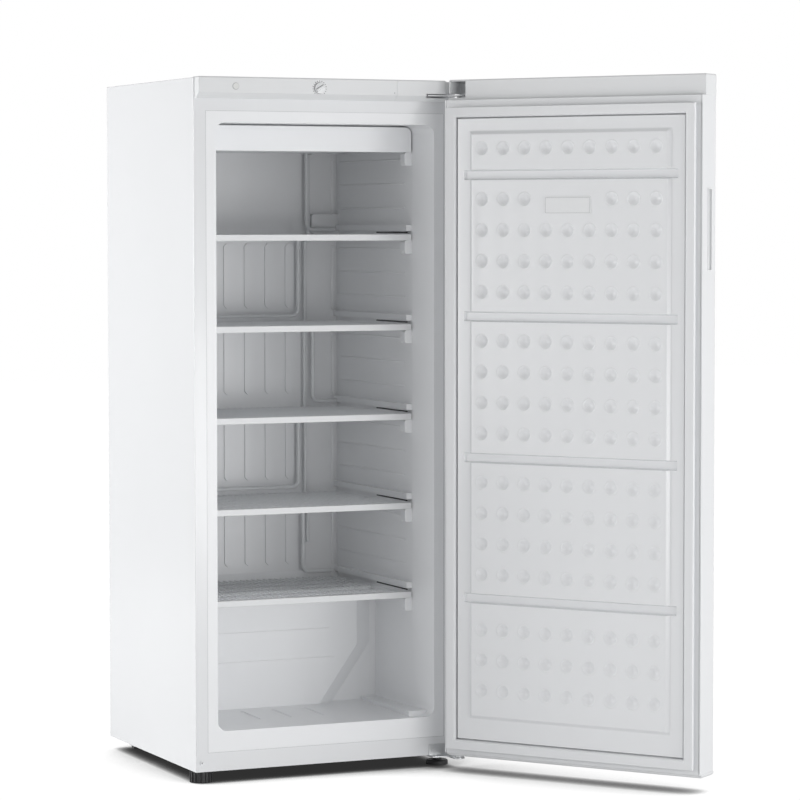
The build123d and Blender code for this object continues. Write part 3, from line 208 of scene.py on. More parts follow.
def softEdged(node, name, width, shape=None, rounder=()):
    # A copy of a CAD node with its sharp edges rounded over, standing for that node.
    source = nodes[node]
    bm = bmesh.new()
    bm.from_mesh(source.data)
    bmesh.ops.remove_doubles(bm, verts=bm.verts, dist=softening["merge"])
    bmesh.ops.dissolve_limit(bm, angle_limit=math.radians(softening["flat"]), verts=bm.verts, edges=bm.edges)
    if shape:
        shape(bm)
    for chosen, reach, steps in rounder:
        roundEdges(bm, [e for e in bm.edges if chosen(e)], reach / 1000, steps)
    sharp = [e for e in bm.edges if bends(e, softening["sharper"])]
    roundEdges(bm, sharp, width / 1000, softening["steps"])
    mesh = bpy.data.meshes.new(name)
    bm.to_mesh(mesh)
    bm.free()
    piece = linkObject(name, mesh)
    mesh.materials.append(source.data.materials[0])
    smoothByAngle(piece, softening["smooth"])
    even = piece.modifiers.new("evenShade", "WEIGHTED_NORMAL")
    even.keep_sharp = True
    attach(piece, source["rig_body"])
    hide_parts(node)


def softBar(bm, start, end, wide, tall):
    # A slim bar between two places, level or upright, with its long edges rounded.
    start, end = Vector(start), Vector(end)
    way = end - start
    turn = way.to_track_quat("Y", "Z").to_matrix().to_4x4()
    place = Matrix.Translation((start + end) / 2) @ turn @ Matrix.Diagonal((wide, way.length, tall, 1.0))
    made = bmesh.ops.create_cube(bm, size=1.0, matrix=place)
    roundEdges(bm, edgesOf(made["verts"]), softening["barShare"] * min(wide, tall), 2)


def blockBetween(bm, x, y, z):
    size = (x[1] - x[0], y[1] - y[0], z[1] - z[0], 1.0)
    middle = ((x[0] + x[1]) / 2, (y[0] + y[1]) / 2, (z[0] + z[1]) / 2)
    place = Matrix.Translation(middle) @ Matrix.Diagonal(size)
    return bmesh.ops.create_cube(bm, size=1.0, matrix=place)["verts"]


def roundBar(bm, radius, thickness, x, z, middle, tube=12, around=48):
    # A round line lying on a front face.
    section = Matrix.Translation((x + radius, middle, z))
    ring = bmesh.ops.create_circle(bm, radius=thickness, segments=tube, matrix=section)
    bmesh.ops.spin(bm, geom=edgesOf(ring["verts"]), cent=(x, middle, z), axis=(0.0, 1.0, 0.0),
                   angle=math.tau, steps=around, use_merge=True)


# What all the finishes share: the cloud's spread, the clear coat and how much of the bump shows.
shading = {
    "grain": 900.0,
    "grainDetail": 2.0,
    "cloud": 4.0,
    "cloudDetail": 3.0,
    "ramp": (0.3, 0.7),
    "coatRough": 0.12,
    "bump": 0.6,
}


def newGroup(name, inputs, outputs):
    group = bpy.data.node_groups.new(name, "ShaderNodeTree")
    for label, kind, start in inputs:
        socket = group.interface.new_socket(label, in_out="INPUT", socket_type="NodeSocket" + kind)
        socket.default_value = start
    for label, kind in outputs:
        group.interface.new_socket(label, in_out="OUTPUT", socket_type="NodeSocket" + kind)
    return group, group.nodes.new("NodeGroupInput"), group.nodes.new("NodeGroupOutput")


def fineGrainGroup():
    inputs = [("Scale", "Float", shading["grain"]), ("Stretch", "Vector", (1.0, 1.0, 1.0))]
    group, entry, leave = newGroup("fineGrain", inputs, [("Height", "Float"), ("Cloud", "Float")])
    link = group.links.new
    place = addNode(group, "TexCoord")
    scaled = addNode(group, "VectorMath")
    scaled.operation = "MULTIPLY"
    grain = addNode(group, "TexNoise", {"Detail": shading["grainDetail"]})
    cloud = addNode(group, "TexNoise", {"Scale": shading["cloud"], "Detail": shading["cloudDetail"]})
    link(place.outputs["Object"], scaled.inputs[0])
    link(entry.outputs["Stretch"], scaled.inputs[1])
    link(scaled.outputs[0], grain.inputs["Vector"])
    link(entry.outputs["Scale"], grain.inputs["Scale"])
    link(place.outputs["Object"], cloud.inputs["Vector"])
    link(grain.outputs["Fac"], leave.inputs["Height"])
    link(cloud.outputs["Fac"], leave.inputs["Cloud"])
    return group


grainGroup = fineGrainGroup()

# Each finish: colour, how far it drifts, roughness range, grain scale and depth, and the shader's own values.
finishes = {
    "white_enamel": {"tone": (0.80, 0.81, 0.825), "drift": 0.005, "rough": (0.24, 0.27),
                     "grain": 420.0, "depth": 0.00006, "coat": 0.35},
    "zinc_steel": {"tone": (0.72, 0.73, 0.74), "drift": 0.08, "rough": (0.30, 0.46),
                   "grain": 160.0, "depth": 0.00005, "metal": 1.0},
    "white_liner": {"tone": (0.79, 0.80, 0.815), "drift": 0.005, "rough": (0.20, 0.23),
                    "grain": 700.0, "depth": 0.00005},
    # inner_liner: the liner's white made lighter as painted bounce light inside the cabinet.
    "inner_liner": {"tone": (0.87, 0.88, 0.895), "drift": 0.004, "rough": (0.27, 0.31),
                    "grain": 700.0, "depth": 0.00005},
    "foam": {"tone": (0.78, 0.70, 0.42), "drift": 0.10, "rough": (0.75, 0.9),
             "grain": 500.0, "depth": 0.0008},
    "white_plastic": {"tone": (0.77, 0.78, 0.79), "drift": 0.005, "rough": (0.34, 0.38),
                      "grain": 1300.0, "depth": 0.00005},
    "knob_plastic": {"tone": (0.80, 0.81, 0.82), "drift": 0.008, "rough": (0.30, 0.36),
                     "grain": 1500.0, "depth": 0.00004},
    "lens": {"tone": (0.80, 0.81, 0.80), "drift": 0.02, "rough": (0.12, 0.2),
             "grain": 900.0, "depth": 0.00002, "coat": 0.5},
    "grey_plastic": {"tone": (0.42, 0.43, 0.44), "drift": 0.04, "rough": (0.40, 0.5),
                     "grain": 1200.0, "depth": 0.0001},
    "white_coated_steel": {"tone": (0.80, 0.815, 0.83), "drift": 0.006, "rough": (0.30, 0.34),
                           "grain": 700.0, "depth": 0.00008, "coat": 0.2},
    "gasket_vinyl": {"tone": (0.77, 0.78, 0.795), "drift": 0.006, "rough": (0.40, 0.44),
                     "grain": 900.0, "depth": 0.00006},
    "magnet": {"tone": (0.07, 0.06, 0.06), "drift": 0.1, "rough": (0.6, 0.75),
               "grain": 900.0, "depth": 0.0001},
    "black_rubber": {"tone": (0.03, 0.03, 0.03), "drift": 0.15, "rough": (0.65, 0.8),
                     "grain": 900.0, "depth": 0.0002},
    "black_plastic": {"tone": (0.025, 0.025, 0.027), "drift": 0.12, "rough": (0.35, 0.5),
                      "grain": 900.0, "depth": 0.0001},
    "black_steel": {"tone": (0.03, 0.03, 0.032), "drift": 0.15, "rough": (0.25, 0.4),
                    "grain": 300.0, "depth": 0.0001, "coat": 0.3},
    "copper": {"tone": (0.80, 0.42, 0.28), "drift": 0.12, "rough": (0.22, 0.4),
               "grain": 260.0, "depth": 0.00005, "metal": 1.0},
}


def buildFinish(name, values):
    material = bpy.data.materials.new(name)
    material.use_nodes = True
    tree = material.node_tree
    shader = tree.nodes["Principled BSDF"]
    shader.inputs["Metallic"].default_value = values.get("metal", 0.0)
    shader.inputs["Coat Weight"].default_value = values.get("coat", 0.0)
    shader.inputs["Coat Roughness"].default_value = shading["coatRough"]
    grain = addNode(tree, "Group")
    grain.node_tree = grainGroup
    grain.inputs["Scale"].default_value = values["grain"]
    ramp = addNode(tree, "ValToRGB")
    low, high = ramp.color_ramp.elements
    low.position, high.position = shading["ramp"]
    low.color = [c * (1.0 - values["drift"]) for c in values["tone"]] + [1.0]
    high.color = [min(1.0, c * (1.0 + values["drift"])) for c in values["tone"]] + [1.0]
    gloss = addNode(tree, "MapRange")
    gloss.inputs["To Min"].default_value, gloss.inputs["To Max"].default_value = values["rough"]
    bump = addNode(tree, "Bump", {"Distance": values["depth"], "Strength": shading["bump"]})
    link = tree.links.new
    link(grain.outputs["Cloud"], ramp.inputs["Fac"])
    link(ramp.outputs["Color"], shader.inputs["Base Color"])
    link(grain.outputs["Cloud"], gloss.inputs["Value"])
    link(gloss.outputs["Result"], shader.inputs["Roughness"])
    link(grain.outputs["Height"], bump.inputs["Height"])
    link(bump.outputs["Normal"], shader.inputs["Normal"])
    return material


def floorPaintedShadow():
    # The camera sees a white glow on the floor with a painted contact shadow where the cabinet shuts the light
    # out.
    # To all other light it is plain paper.
    material = bpy.data.materials.new("floorPaintedShadow")
    material.use_nodes = True
    tree = material.node_tree
    paper = tree.nodes["Principled BSDF"]
    paper.inputs["Base Color"].default_value = studio["floorColour"]
    paper.inputs["Roughness"].default_value = studio["floorRough"]
    paper.inputs["Specular IOR Level"].default_value = studio["floorShine"]
    # Painted contact shadow: the glow dims with the ambient occlusion round the cabinet.
    opened = addNode(tree, "AmbientOcclusion", {"Distance": studio["shadeReach"]})
    spread = addNode(tree, "MapRange")
    spread.inputs["From Min"].default_value, spread.inputs["From Max"].default_value = studio["shadeOpen"]
    soft = addNode(tree, "Math", {1: studio["shadePower"]})
    soft.operation = "POWER"
    level = addNode(tree, "Math", {1: studio["shadeLeast"]})
    level.operation = "ADD"
    white = addNode(tree, "Emission")
    seen = addNode(tree, "LightPath")
    choose = addNode(tree, "MixShader")
    link = tree.links.new
    link(opened.outputs["AO"], spread.inputs["Value"])
    link(spread.outputs["Result"], soft.inputs[0])
    link(soft.outputs["Value"], level.inputs[0])
    link(level.outputs["Value"], white.inputs["Strength"])
    link(seen.outputs["Is Camera Ray"], choose.inputs["Fac"])
    link(paper.outputs["BSDF"], choose.inputs[1])
    link(white.outputs["Emission"], choose.inputs[2])
    link(choose.outputs["Shader"], tree.nodes["Material Output"].inputs["Surface"])
    return material


finishOf = {name: buildFinish(name, values) for name, values in finishes.items()}
slotOf = {part["node"]: part["material_slot"] for part in frame["record"]["subparts"]}
# Painted bounce light: the inner liner and top fascia take the lighter copy of the liner's white.
paintedBounceFinish = {"inner_liner": "inner_liner", "top_fascia": "inner_liner"}


def dressNodes():
    for name, slot in slotOf.items():
        nodes[name].data.materials.clear()
        nodes[name].data.materials.append(finishOf[paintedBounceFinish.get(name, slot)])


# The door liner is one formed sheet: a raised frame, a raised panel, four grooves and rows of dimples.
# Frame and panel: side, low, high, rise, ramp. Dimple: radius and height, from its rim inwards.
doorLiner = {
    "width": 540.0,
    "low": 37.2,
    "high": 1291.4,
    "edge": 3.4,
    "frame": (29.0, 65.7, 1258.0, 7.5, 3.0),
    "panel": (58.0, 108.0, 1232.5, 6.0, 8.0),
    "grooves": (1148.5, 879.6, 610.0, 340.5),
    "grooveHalf": 10.0,
    "grooveEnd": 45.0,
    "grooveFloor": 2.0,
    "grooveWall": 3.2,
    "flatEdge": 70.0,
    "rampCuts": (0.0, 0.12, 0.25, 0.75, 0.88, 1.0),
    "rampLip": 0.8,
    "rampSoft": 0.25,
    "pocketArea": 20000.0,
    "pocketLevel": 0.1,
    "sheet": 1.2,
    "evenWeight": 80,
    "dimple": ((14.4, 0.0), (13.4, 0.06), (11.9, 0.55), (9.8, 1.85), (7.0, 3.75), (3.5, 5.5)),
    "dimpleBottom": 6.0,
    "dimpleSides": 16,
    "dimplePitch": 45.65,
    "dimpleReach": 4,
    "rowPitch": 58.7,
    "firstRow": 49.5,
    "rowDrop": 46.5,
    "pocketRows": 4,
    "lowPocketRows": 3,
    "plate": (97.0, 33.0, 1074.0),
}


def softRamp(distance, width):
    # A straight slope whose two ends are rounded over.
    soft = doorLiner["rampSoft"]
    t = min(1.0, max(0.0, distance / width))
    steep = 1.0 / (1.0 - soft)
    if t < soft:
        return steep * t * t / (2.0 * soft)
    if t > 1.0 - soft:
        return 1.0 - steep * (1.0 - t) * (1.0 - t) / (2.0 * soft)
    return steep * (t - soft / 2.0)


def panelTop():
    return doorLiner["frame"][3] + doorLiner["panel"][3]


def linerHeight(u, z):
    # How far the sheet stands out of the rim at this place.
    inner = min(u, doorLiner["width"] - u)
    height = 0.0
    for side, low, high, rise, ramp in (doorLiner["frame"], doorLiner["panel"]):
        height += rise * softRamp(min(inner - side, z - low, high - z), ramp)
    sink = panelTop() - doorLiner["grooveFloor"]
    for middle in doorLiner["grooves"]:
        depth = min(inner - doorLiner["grooveEnd"], doorLiner["grooveHalf"] - abs(z - middle))
        if depth > 0.0:
            height = min(height, panelTop() - sink * softRamp(depth, doorLiner["grooveWall"]))
    return height


def dimpleRows():
    grooves, pitch = doorLiner["grooves"], doorLiner["rowPitch"]
    rows = [grooves[0] + doorLiner["firstRow"]]
    for groove in grooves[:-1]:
        rows += [groove - doorLiner["rowDrop"] - k * pitch for k in range(doorLiner["pocketRows"])]
    return rows + [grooves[-1] - (k + 1) * pitch for k in range(doorLiner["lowPocketRows"])]


def cutLines(bm, spots, way):
    for spot in sorted(spots):
        parts = bm.verts[:] + bm.edges[:] + bm.faces[:]
        bmesh.ops.bisect_plane(bm, geom=parts, plane_co=[spot * w for w in way], plane_no=way)


def cutSlopes(bm):
    # Lines across the sheet where its slopes start, bend and end.
    cuts, lip = doorLiner["rampCuts"], doorLiner["rampLip"]
    slopes = [(box[0], box[4]) for box in (doorLiner["frame"], doorLiner["panel"])]
    slopes.append((doorLiner["grooveEnd"], doorLiner["grooveWall"]))
    across = [doorLiner["flatEdge"]]
    for side, wide in slopes:
        across += [side + wide * s for s in cuts] + [side - lip]
    cutLines(bm, across + [doorLiner["width"] - u for u in across], (1.0, 0.0, 0.0))
    up = []
    for _, low, high, _, ramp in (doorLiner["frame"], doorLiner["panel"]):
        up += [low + ramp * s for s in cuts] + [low - lip]
        up += [high - ramp * s for s in cuts] + [high + lip]
    for middle in doorLiner["grooves"]:
        reaches = [doorLiner["grooveHalf"] - doorLiner["grooveWall"] * s for s in cuts]
        for reach in reaches + [doorLiner["grooveHalf"] + lip]:
            up += [middle - reach, middle + reach]
    cutLines(bm, up, (0.0, 1.0, 0.0))


def sinkDimple(bm, u, z, height):
    profile = doorLiner["dimple"]
    ring = bmesh.ops.create_circle(bm, cap_ends=True, radius=profile[0][0], segments=doorLiner["dimpleSides"],
                                   matrix=Matrix.Translation((u, z, height)))
    face = ring["verts"][0].link_faces[0]
    if face.normal.z < 0.0:
        face.normal_flip()
    rim = list(face.edges)
    for (wide, high), (narrow, low) in zip(profile, profile[1:]):
        bmesh.ops.inset_region(bm, faces=[face], thickness=wide - narrow, depth=high - low,
                               use_even_offset=True, use_boundary=True)
    bmesh.ops.poke(bm, faces=[face], offset=profile[-1][1] - doorLiner["dimpleBottom"])
    return rim


def buildDoorLiner():
    bm = bmesh.new()
    width, low, high = doorLiner["width"], doorLiner["low"], doorLiner["high"]
    bmesh.ops.create_grid(bm, x_segments=1, y_segments=1, size=0.5)
    bmesh.ops.scale(bm, vec=(width - 2.0 * doorLiner["edge"], high - low, 1.0), verts=bm.verts)
    bmesh.ops.translate(bm, vec=(width / 2, (low + high) / 2, 0.0), verts=bm.verts)
    cutSlopes(bm)
    for vert in bm.verts:
        vert.co.z = linerHeight(vert.co.x, vert.co.y)
    top = panelTop()
    plateWide, plateTall, plateLow = doorLiner["plate"]
    reach = doorLiner["dimpleReach"]
    large = [f for f in bm.faces if f.calc_area() > doorLiner["pocketArea"]]
    for pocket in [f for f in large if abs(f.calc_center_median().z - top) < doorLiner["pocketLevel"]]:
        edges = list(pocket.edges)
        base = min(v.co.y for v in pocket.verts)
        roof = max(v.co.y for v in pocket.verts)
        bmesh.ops.delete(bm, geom=[pocket], context="FACES_ONLY")
        for z in [row for row in dimpleRows() if base < row < roof]:
            for k in range(-reach, reach + 1):
                beside = abs(k) * doorLiner["dimplePitch"] > plateWide / 2
                if abs(z - plateLow - plateTall / 2) > plateTall or beside:
                    edges += sinkDimple(bm, width / 2 + k * doorLiner["dimplePitch"], z, top)
        bmesh.ops.triangle_fill(bm, edges=edges, use_beauty=True, use_dissolve=False, normal=(0.0, 0.0, 1.0))
    piece = makeObject("doorLiner", bm, doorFrame, "white_liner", "door")
    piece.data.shade_smooth()
    wall = piece.modifiers.new("wall", "SOLIDIFY")
    wall.thickness = doorLiner["sheet"] / 1000
    wall.offset = -1.0
    even = piece.modifiers.new("evenShade", "WEIGHTED_NORMAL")
    even.weight = doorLiner["evenWeight"]
    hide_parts("door_liner")


# Inner liner. Rear slots, lug and boss: where their edges lie, then how far these are rounded.
innerLiner = {
    "soft": 1.4,
    "railLift": 4.5,
    "railBottom": 2.0,
    "railNear": 0.4,
    "wallX": 200.0,
    "rearSlots": (430.0, 441.5, 190.0, 2.4),
    "slotsAbove": 380.0,
    "lug": (198.0, 200.5, 5.0),
    "lugBack": 110.0,
    "boss": (149.0, 151.0, 6.0),
    "bossAbove": 1030.0,
    "beadRises": (52.0, 99.0, 146.0),
    "bead": (110.0, 425.0, 1.1, 3.2),  # front, back, how far it stands out, height
    "beadsAbove": 345.0,
    "wall": (213.6, 75.0, 210.0, 440.0),  # x and y of the side wall's front, then of its back
    "column": (202.0, 9.0, 2.4, 20.0, 150.0),  # x, width, depth, low, high
    "columnsAbove": 300.0,
    "gap": (206.5, 84.0, 230.0, 3.6, 2.6),  # painted shade under each rail, black bars: x, front, back, rise, thickness
}


def shelfLevel(k):
    return shelf["top"] - k * shelf["pitch"]


def cabinetPoint(vert):
    return (cabinetFrame.inverted() @ vert.co) * 1000


def liftRails(bm):
    # The rails stand off their shelves, which leaves the dark gap under each.
    for vert in bm.verts:
        spot = cabinetPoint(vert)
        for k in range(shelf["count"]):
            low = shelfLevel(k) + innerLiner["railBottom"]
            if abs(spot.x) > innerLiner["wallX"] and abs(spot.z - low) < innerLiner["railNear"]:
                vert.co.z += innerLiner["railLift"] / 1000


def deepEnds(edge):
    # The ends of an edge that runs from front to back, and nothing for any other.
    way = (edge.verts[1].co - edge.verts[0].co).normalized()
    return [cabinetPoint(v) for v in edge.verts] if abs(way.y) > 0.99 else []


def slotEnds(edge):
    near, far, half, _ = innerLiner["rearSlots"]
    ends = deepEnds(edge)
    inside = all(near < e.y < far and abs(e.x) < half and e.z > innerLiner["slotsAbove"] for e in ends)
    return bool(ends) and inside


def lugEnds(edge):
    near, far, _ = innerLiner["lug"]
    ends = deepEnds(edge)
    return bool(ends) and all(near < abs(e.x) < far and e.y < innerLiner["lugBack"] for e in ends)


def bossEnds(edge):
    near, far, _ = innerLiner["boss"]
    ends = deepEnds(edge)
    return bool(ends) and all(near < e.x < far and e.z > innerLiner["bossAbove"] for e in ends)


def buildInnerLiner():
    rounder = ((slotEnds, innerLiner["rearSlots"][3], 3), (lugEnds, innerLiner["lug"][2], 4),
               (bossEnds, innerLiner["boss"][2], 4))
    softEdged("inner_liner", "innerLiner", innerLiner["soft"], shape=liftRails, rounder=rounder)
    bm = bmesh.new()
    front, back, proud, tall = innerLiner["bead"]
    nearX, nearY, farX, farY = innerLiner["wall"]
    slope = (farX - nearX) / (farY - nearY)
    columnX, wide, deep, low, high = innerLiner["column"]
    for k in range(shelf["count"] + 1):
        level = shelfLevel(k)
        for hand in (-1.0, 1.0):
            for rise in innerLiner["beadRises"]:
                if level + rise > innerLiner["beadsAbove"]:
                    start = (hand * (nearX + slope * (front - nearY)), front, level + rise)
                    end = (hand * (nearX + slope * (back - nearY)), back, level + rise)
                    softBar(bm, start, end, 2.0 * proud, tall)
            if level > innerLiner["columnsAbove"]:
                x = hand * columnX
                softBar(bm, (x, farY, level + low), (x, farY, level + high), wide, 2.0 * deep)
    # The beads share the inner liner's lighter white, with its painted bounce light.
    addPiece("linerBeads", bm, cabinetFrame, "inner_liner", "cabinet")
    # Black bars along each rail's underside: painted shade in the gap between rail and shelf.
    bm = bmesh.new()
    x, front, back, rise, tall = innerLiner["gap"]
    for k in range(shelf["count"]):
        level = shelfLevel(k) + rise
        for hand in (-1.0, 1.0):
            softBar(bm, (hand * x, front, level), (hand * x, back, level), tall, tall)
    addPiece("railPaintedShade", bm, cabinetFrame, "black_plastic", "cabinet")


# Tubes and wires.
tubing = {"sides": 10, "wireSides": 6, "step": 15.0, "smooth": 50.0}


def bendTube(bm, start, heading, diameter, moves):
    # Each move is a length ahead, or a bend: its angle, its radius and the way that it turns towards.
    here, way = Vector(start), Vector(heading)
    place = Matrix.Translation(here) @ way.to_track_quat("Z", "Y").to_matrix().to_4x4()
    ring = bmesh.ops.create_circle(bm, cap_ends=True, radius=diameter / 2, segments=tubing["sides"],
                                   matrix=place)
    edges = list(ring["verts"][0].link_faces[0].edges)
    for move in moves:
        if isinstance(move, float):
            made = bmesh.ops.extrude_edge_only(bm, edges=edges)["geom"]
            verts = [g for g in made if isinstance(g, bmesh.types.BMVert)]
            bmesh.ops.translate(bm, vec=way * move, verts=verts)
            edges = [g for g in made if isinstance(g, bmesh.types.BMEdge) and set(g.verts) <= set(verts)]
            here = here + way * move
        else:
            angle, bend, side = math.radians(move[0]), move[1], Vector(move[2])
            axis = way.cross(side)
            middle = here + side * bend
            steps = max(2, round(move[0] / tubing["step"]))
            made = bmesh.ops.spin(bm, geom=edges, cent=middle, axis=axis, angle=angle, steps=steps)
            edges = [g for g in made["geom_last"] if isinstance(g, bmesh.types.BMEdge)]
            turned = Matrix.Rotation(angle, 3, axis)
            here, way = middle + turned @ (here - middle), turned @ way
    bmesh.ops.holes_fill(bm, edges=edges, sides=tubing["sides"])


def serpentine(bm, start, heading, side, width, pitch, passes, diameter):
    # A tube that goes to and fro, with a half turn of radius half a pitch at each end.
    bend = pitch / 2
    moves = []
    for k in range(passes):
        ends = (k > 0) + (k < passes - 1)
        moves.append(width - ends * bend)
        if k < passes - 1:
            moves.append((180.0, bend, side))
    bendTube(bm, start, heading, diameter, moves)


def addWire(bm, start, end, diameter):
    start, end = Vector(start), Vector(end)
    way = end - start
    place = Matrix.Translation((start + end) / 2) @ way.to_track_quat("Z", "Y").to_matrix().to_4x4()
    bmesh.ops.create_cone(bm, cap_ends=True, segments=tubing["wireSides"], radius1=diameter / 2,
                          radius2=diameter / 2, depth=way.length, matrix=place)


def finishTubes(name, bm, finish, node):
    bmesh.ops.recalc_face_normals(bm, faces=bm.faces)
    piece = makeObject(name, bm, cabinetFrame, finish, "cabinet")
    smoothByAngle(piece, tubing["smooth"])
    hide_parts(node)


# Evaporator shelves: round wires brazed across a to-and-fro tube.
shelf = {
    "count": 5,
    "top": 1035.6,
    "pitch": 174.9,
    "headTop": 1210.0,
    "trimWall": 1.2,
    "wire": 2.2,
    "wireGap": 12.4,
    "wireGaps": 32,
    "front": 76.4,
    "back": 420.0,
    "tube": 8.0,
    "tubeFront": 110.0,
    "tubePitch": 61.0,
    "passes": 6,
    "tubeWidth": 400.0,
}


def layGrille(bm, top):
    z = top - shelf["trimWall"] - shelf["wire"] / 2
    half = shelf["wireGaps"] * shelf["wireGap"] / 2
    for k in range(shelf["wireGaps"] + 1):
        x = k * shelf["wireGap"] - half
        addWire(bm, (x, shelf["front"], z), (x, shelf["back"], z), shelf["wire"])


def layCoil(bm, top):
    z = top - shelf["trimWall"] - shelf["wire"] - shelf["tube"] / 2
    start = (-shelf["tubeWidth"] / 2, shelf["tubeFront"], z)
    serpentine(bm, start, (1.0, 0.0, 0.0), (0.0, 1.0, 0.0), shelf["tubeWidth"], shelf["tubePitch"],
               shelf["passes"], shelf["tube"])


def buildShelves():
    for k in range(shelf["count"]):
        wires = bmesh.new()
        layGrille(wires, shelfLevel(k))
        finishTubes(f"shelfWires{k + 1}", wires, "white_coated_steel", f"shelf_wires_{k + 1}")
        tube = bmesh.new()
        layCoil(tube, shelfLevel(k))
        finishTubes(f"shelfTube{k + 1}", tube, "white_coated_steel", f"shelf_tube_{k + 1}")
    head = bmesh.new()
    layGrille(head, shelf["headTop"])
    layCoil(head, shelf["headTop"])
    finishTubes("topEvaporator", head, "white_coated_steel", "top_evaporator")


# Riser tubes between the shelves, up the rear wall, each beside a slimmer return.
riser = {
    "y": 424.0,
    "diameter": 8.0,
    "bend": 14.0,
    "drop": 7.2,
    "lift": 16.0,
    "places": (137.0, 118.0, 150.0, 118.0, 128.0),
    "runs": (48.0, 280.0),
    "pairs": (147.0, 139.0, 130.0, 139.0, 144.0),
    "pairY": 430.0,
    "pairBend": 10.0,
    "pairSlim": 0.9,
    "pairIn": 0.6,
    "pairShort": 1.6,
    "pairTurn": 45.0,
    "lastPair": 88.0,
}


def buildRisers():
    bm = bmesh.new()
    levels = [shelf["headTop"]] + [shelfLevel(k) for k in range(shelf["count"])]
    bend, small, turn = riser["bend"], riser["pairBend"], riser["pairTurn"]
    down = (0.0, 0.0, -1.0)
    for k, x in enumerate(riser["places"]):
        high, low = levels[k] - riser["drop"], levels[k + 1] - riser["drop"]
        side = -1.0 if k % 2 else 1.0
        moves = [high - low - bend - riser["lift"], (90.0, bend, (side, 0.0, 0.0)), riser["runs"][k % 2]]
        bendTube(bm, (x, riser["y"], high), down, riser["diameter"], moves)
        out = -1.0 if riser["pairs"][k] < x else 1.0
        last = k == shelf["count"] - 1
        long = riser["lastPair"] if last else high - low - riser["pairShort"] * small
        moves = [(turn, small, (-out, 0.0, 0.0)), (turn, small, down), long]
        start = (riser["pairs"][k] + riser["pairIn"] * out * small, riser["pairY"], high)
        bendTube(bm, start, down, riser["diameter"] * riser["pairSlim"], moves)
    finishTubes("riserTubes", bm, "white_coated_steel", "riser_tubes")


# Condenser on the back: black tube with wires on both faces.
condenser = {
    "y": 498.0,
    "tube": 6.0,
    "width": 440.0,
    "bottom": 330.0,
    "pitch": 100.0,
    "passes": 9,
    "wire": 1.9,
    "wireGap": 13.75,
    "wireGaps": 30,
    "over": 16.0,
}


def buildCondenser():
    bm = bmesh.new()
    start = (-condenser["width"] / 2, condenser["y"], condenser["bottom"])
    serpentine(bm, start, (1.0, 0.0, 0.0), (0.0, 0.0, 1.0), condenser["width"], condenser["pitch"],
               condenser["passes"], condenser["tube"])
    finishTubes("condenserCoil", bm, "black_steel", "condenser_coil")
    bm = bmesh.new()
    low = condenser["bottom"] - condenser["over"]
    high = condenser["bottom"] + (condenser["passes"] - 1) * condenser["pitch"] + condenser["over"]
    half = condenser["wireGaps"] * condenser["wireGap"] / 2
    away = (condenser["tube"] + condenser["wire"]) / 2
    for k in range(condenser["wireGaps"] + 1):
        x = k * condenser["wireGap"] - half
        for y in (condenser["y"] - away, condenser["y"] + away):
            addWire(bm, (x, y, low), (x, y, high), condenser["wire"])
    finishTubes("condenserWires", bm, "black_steel", "condenser_wires")


# Dial ticks, indicator ring and the notch in the control panel's seam.
dial = {
    "x": -23.0,
    "z": 1311.7,
    "face": -21.0,
    "ring": (12.4, 14.6),
    "ticks": 15,
    "sweep": 270.0,
    "tick": 0.8,
}
indicator = {"x": -193.0, "z": 1312.8, "radius": 6.1, "line": 0.55}
seamNotch = {"x": 132.6, "z": 1305.0, "wide": 1.4, "tall": 3.2, "thick": 0.3}


def buildDial():
    bm = bmesh.new()
    near, far = dial["ring"]
    for k in range(dial["ticks"]):
        angle = math.radians(90.0 - dial["sweep"] / 2 + dial["sweep"] * k / (dial["ticks"] - 1))
        out = Vector((math.cos(angle), 0.0, math.sin(angle)))
        middle = Vector((dial["x"], dial["face"], dial["z"]))
        softBar(bm, middle + out * near, middle + out * far, dial["tick"], dial["tick"])
    addPiece("dialMarks", bm, cabinetFrame, "black_plastic", "cabinet")
    bm = bmesh.new()
    roundBar(bm, indicator["radius"], indicator["line"], indicator["x"], indicator["z"], dial["face"])
    bmesh.ops.recalc_face_normals(bm, faces=bm.faces)
    addPiece("indicatorRing", bm, cabinetFrame, "grey_plastic", "cabinet")
    bm = bmesh.new()
    low = seamNotch["z"] - seamNotch["tall"] / 2
    softBar(bm, (seamNotch["x"], dial["face"], low), (seamNotch["x"], dial["face"], low + seamNotch["tall"]),
            seamNotch["wide"], seamNotch["thick"])
    addPiece("seamNotch", bm, cabinetFrame, "grey_plastic", "cabinet")


# The thermostat knob, with its grip turned as photographed.
knob = {
    "radius": 10.3,
    "base": 3.0,
    "height": 6.8,
    "seat": 0.5,
    "sides": 48,
    "rimSoft": 0.7,
    "rest": 31.0,
    "gripWide": 4.6,
    "gripReach": 9.0,
    "gripSoft": 0.9,
    # The last three values size the black lines of painted shade at the grip and rim.
    "line": 0.7,
    "shadeLineOut": 0.3,
    "rimShadeLine": 0.35,
}


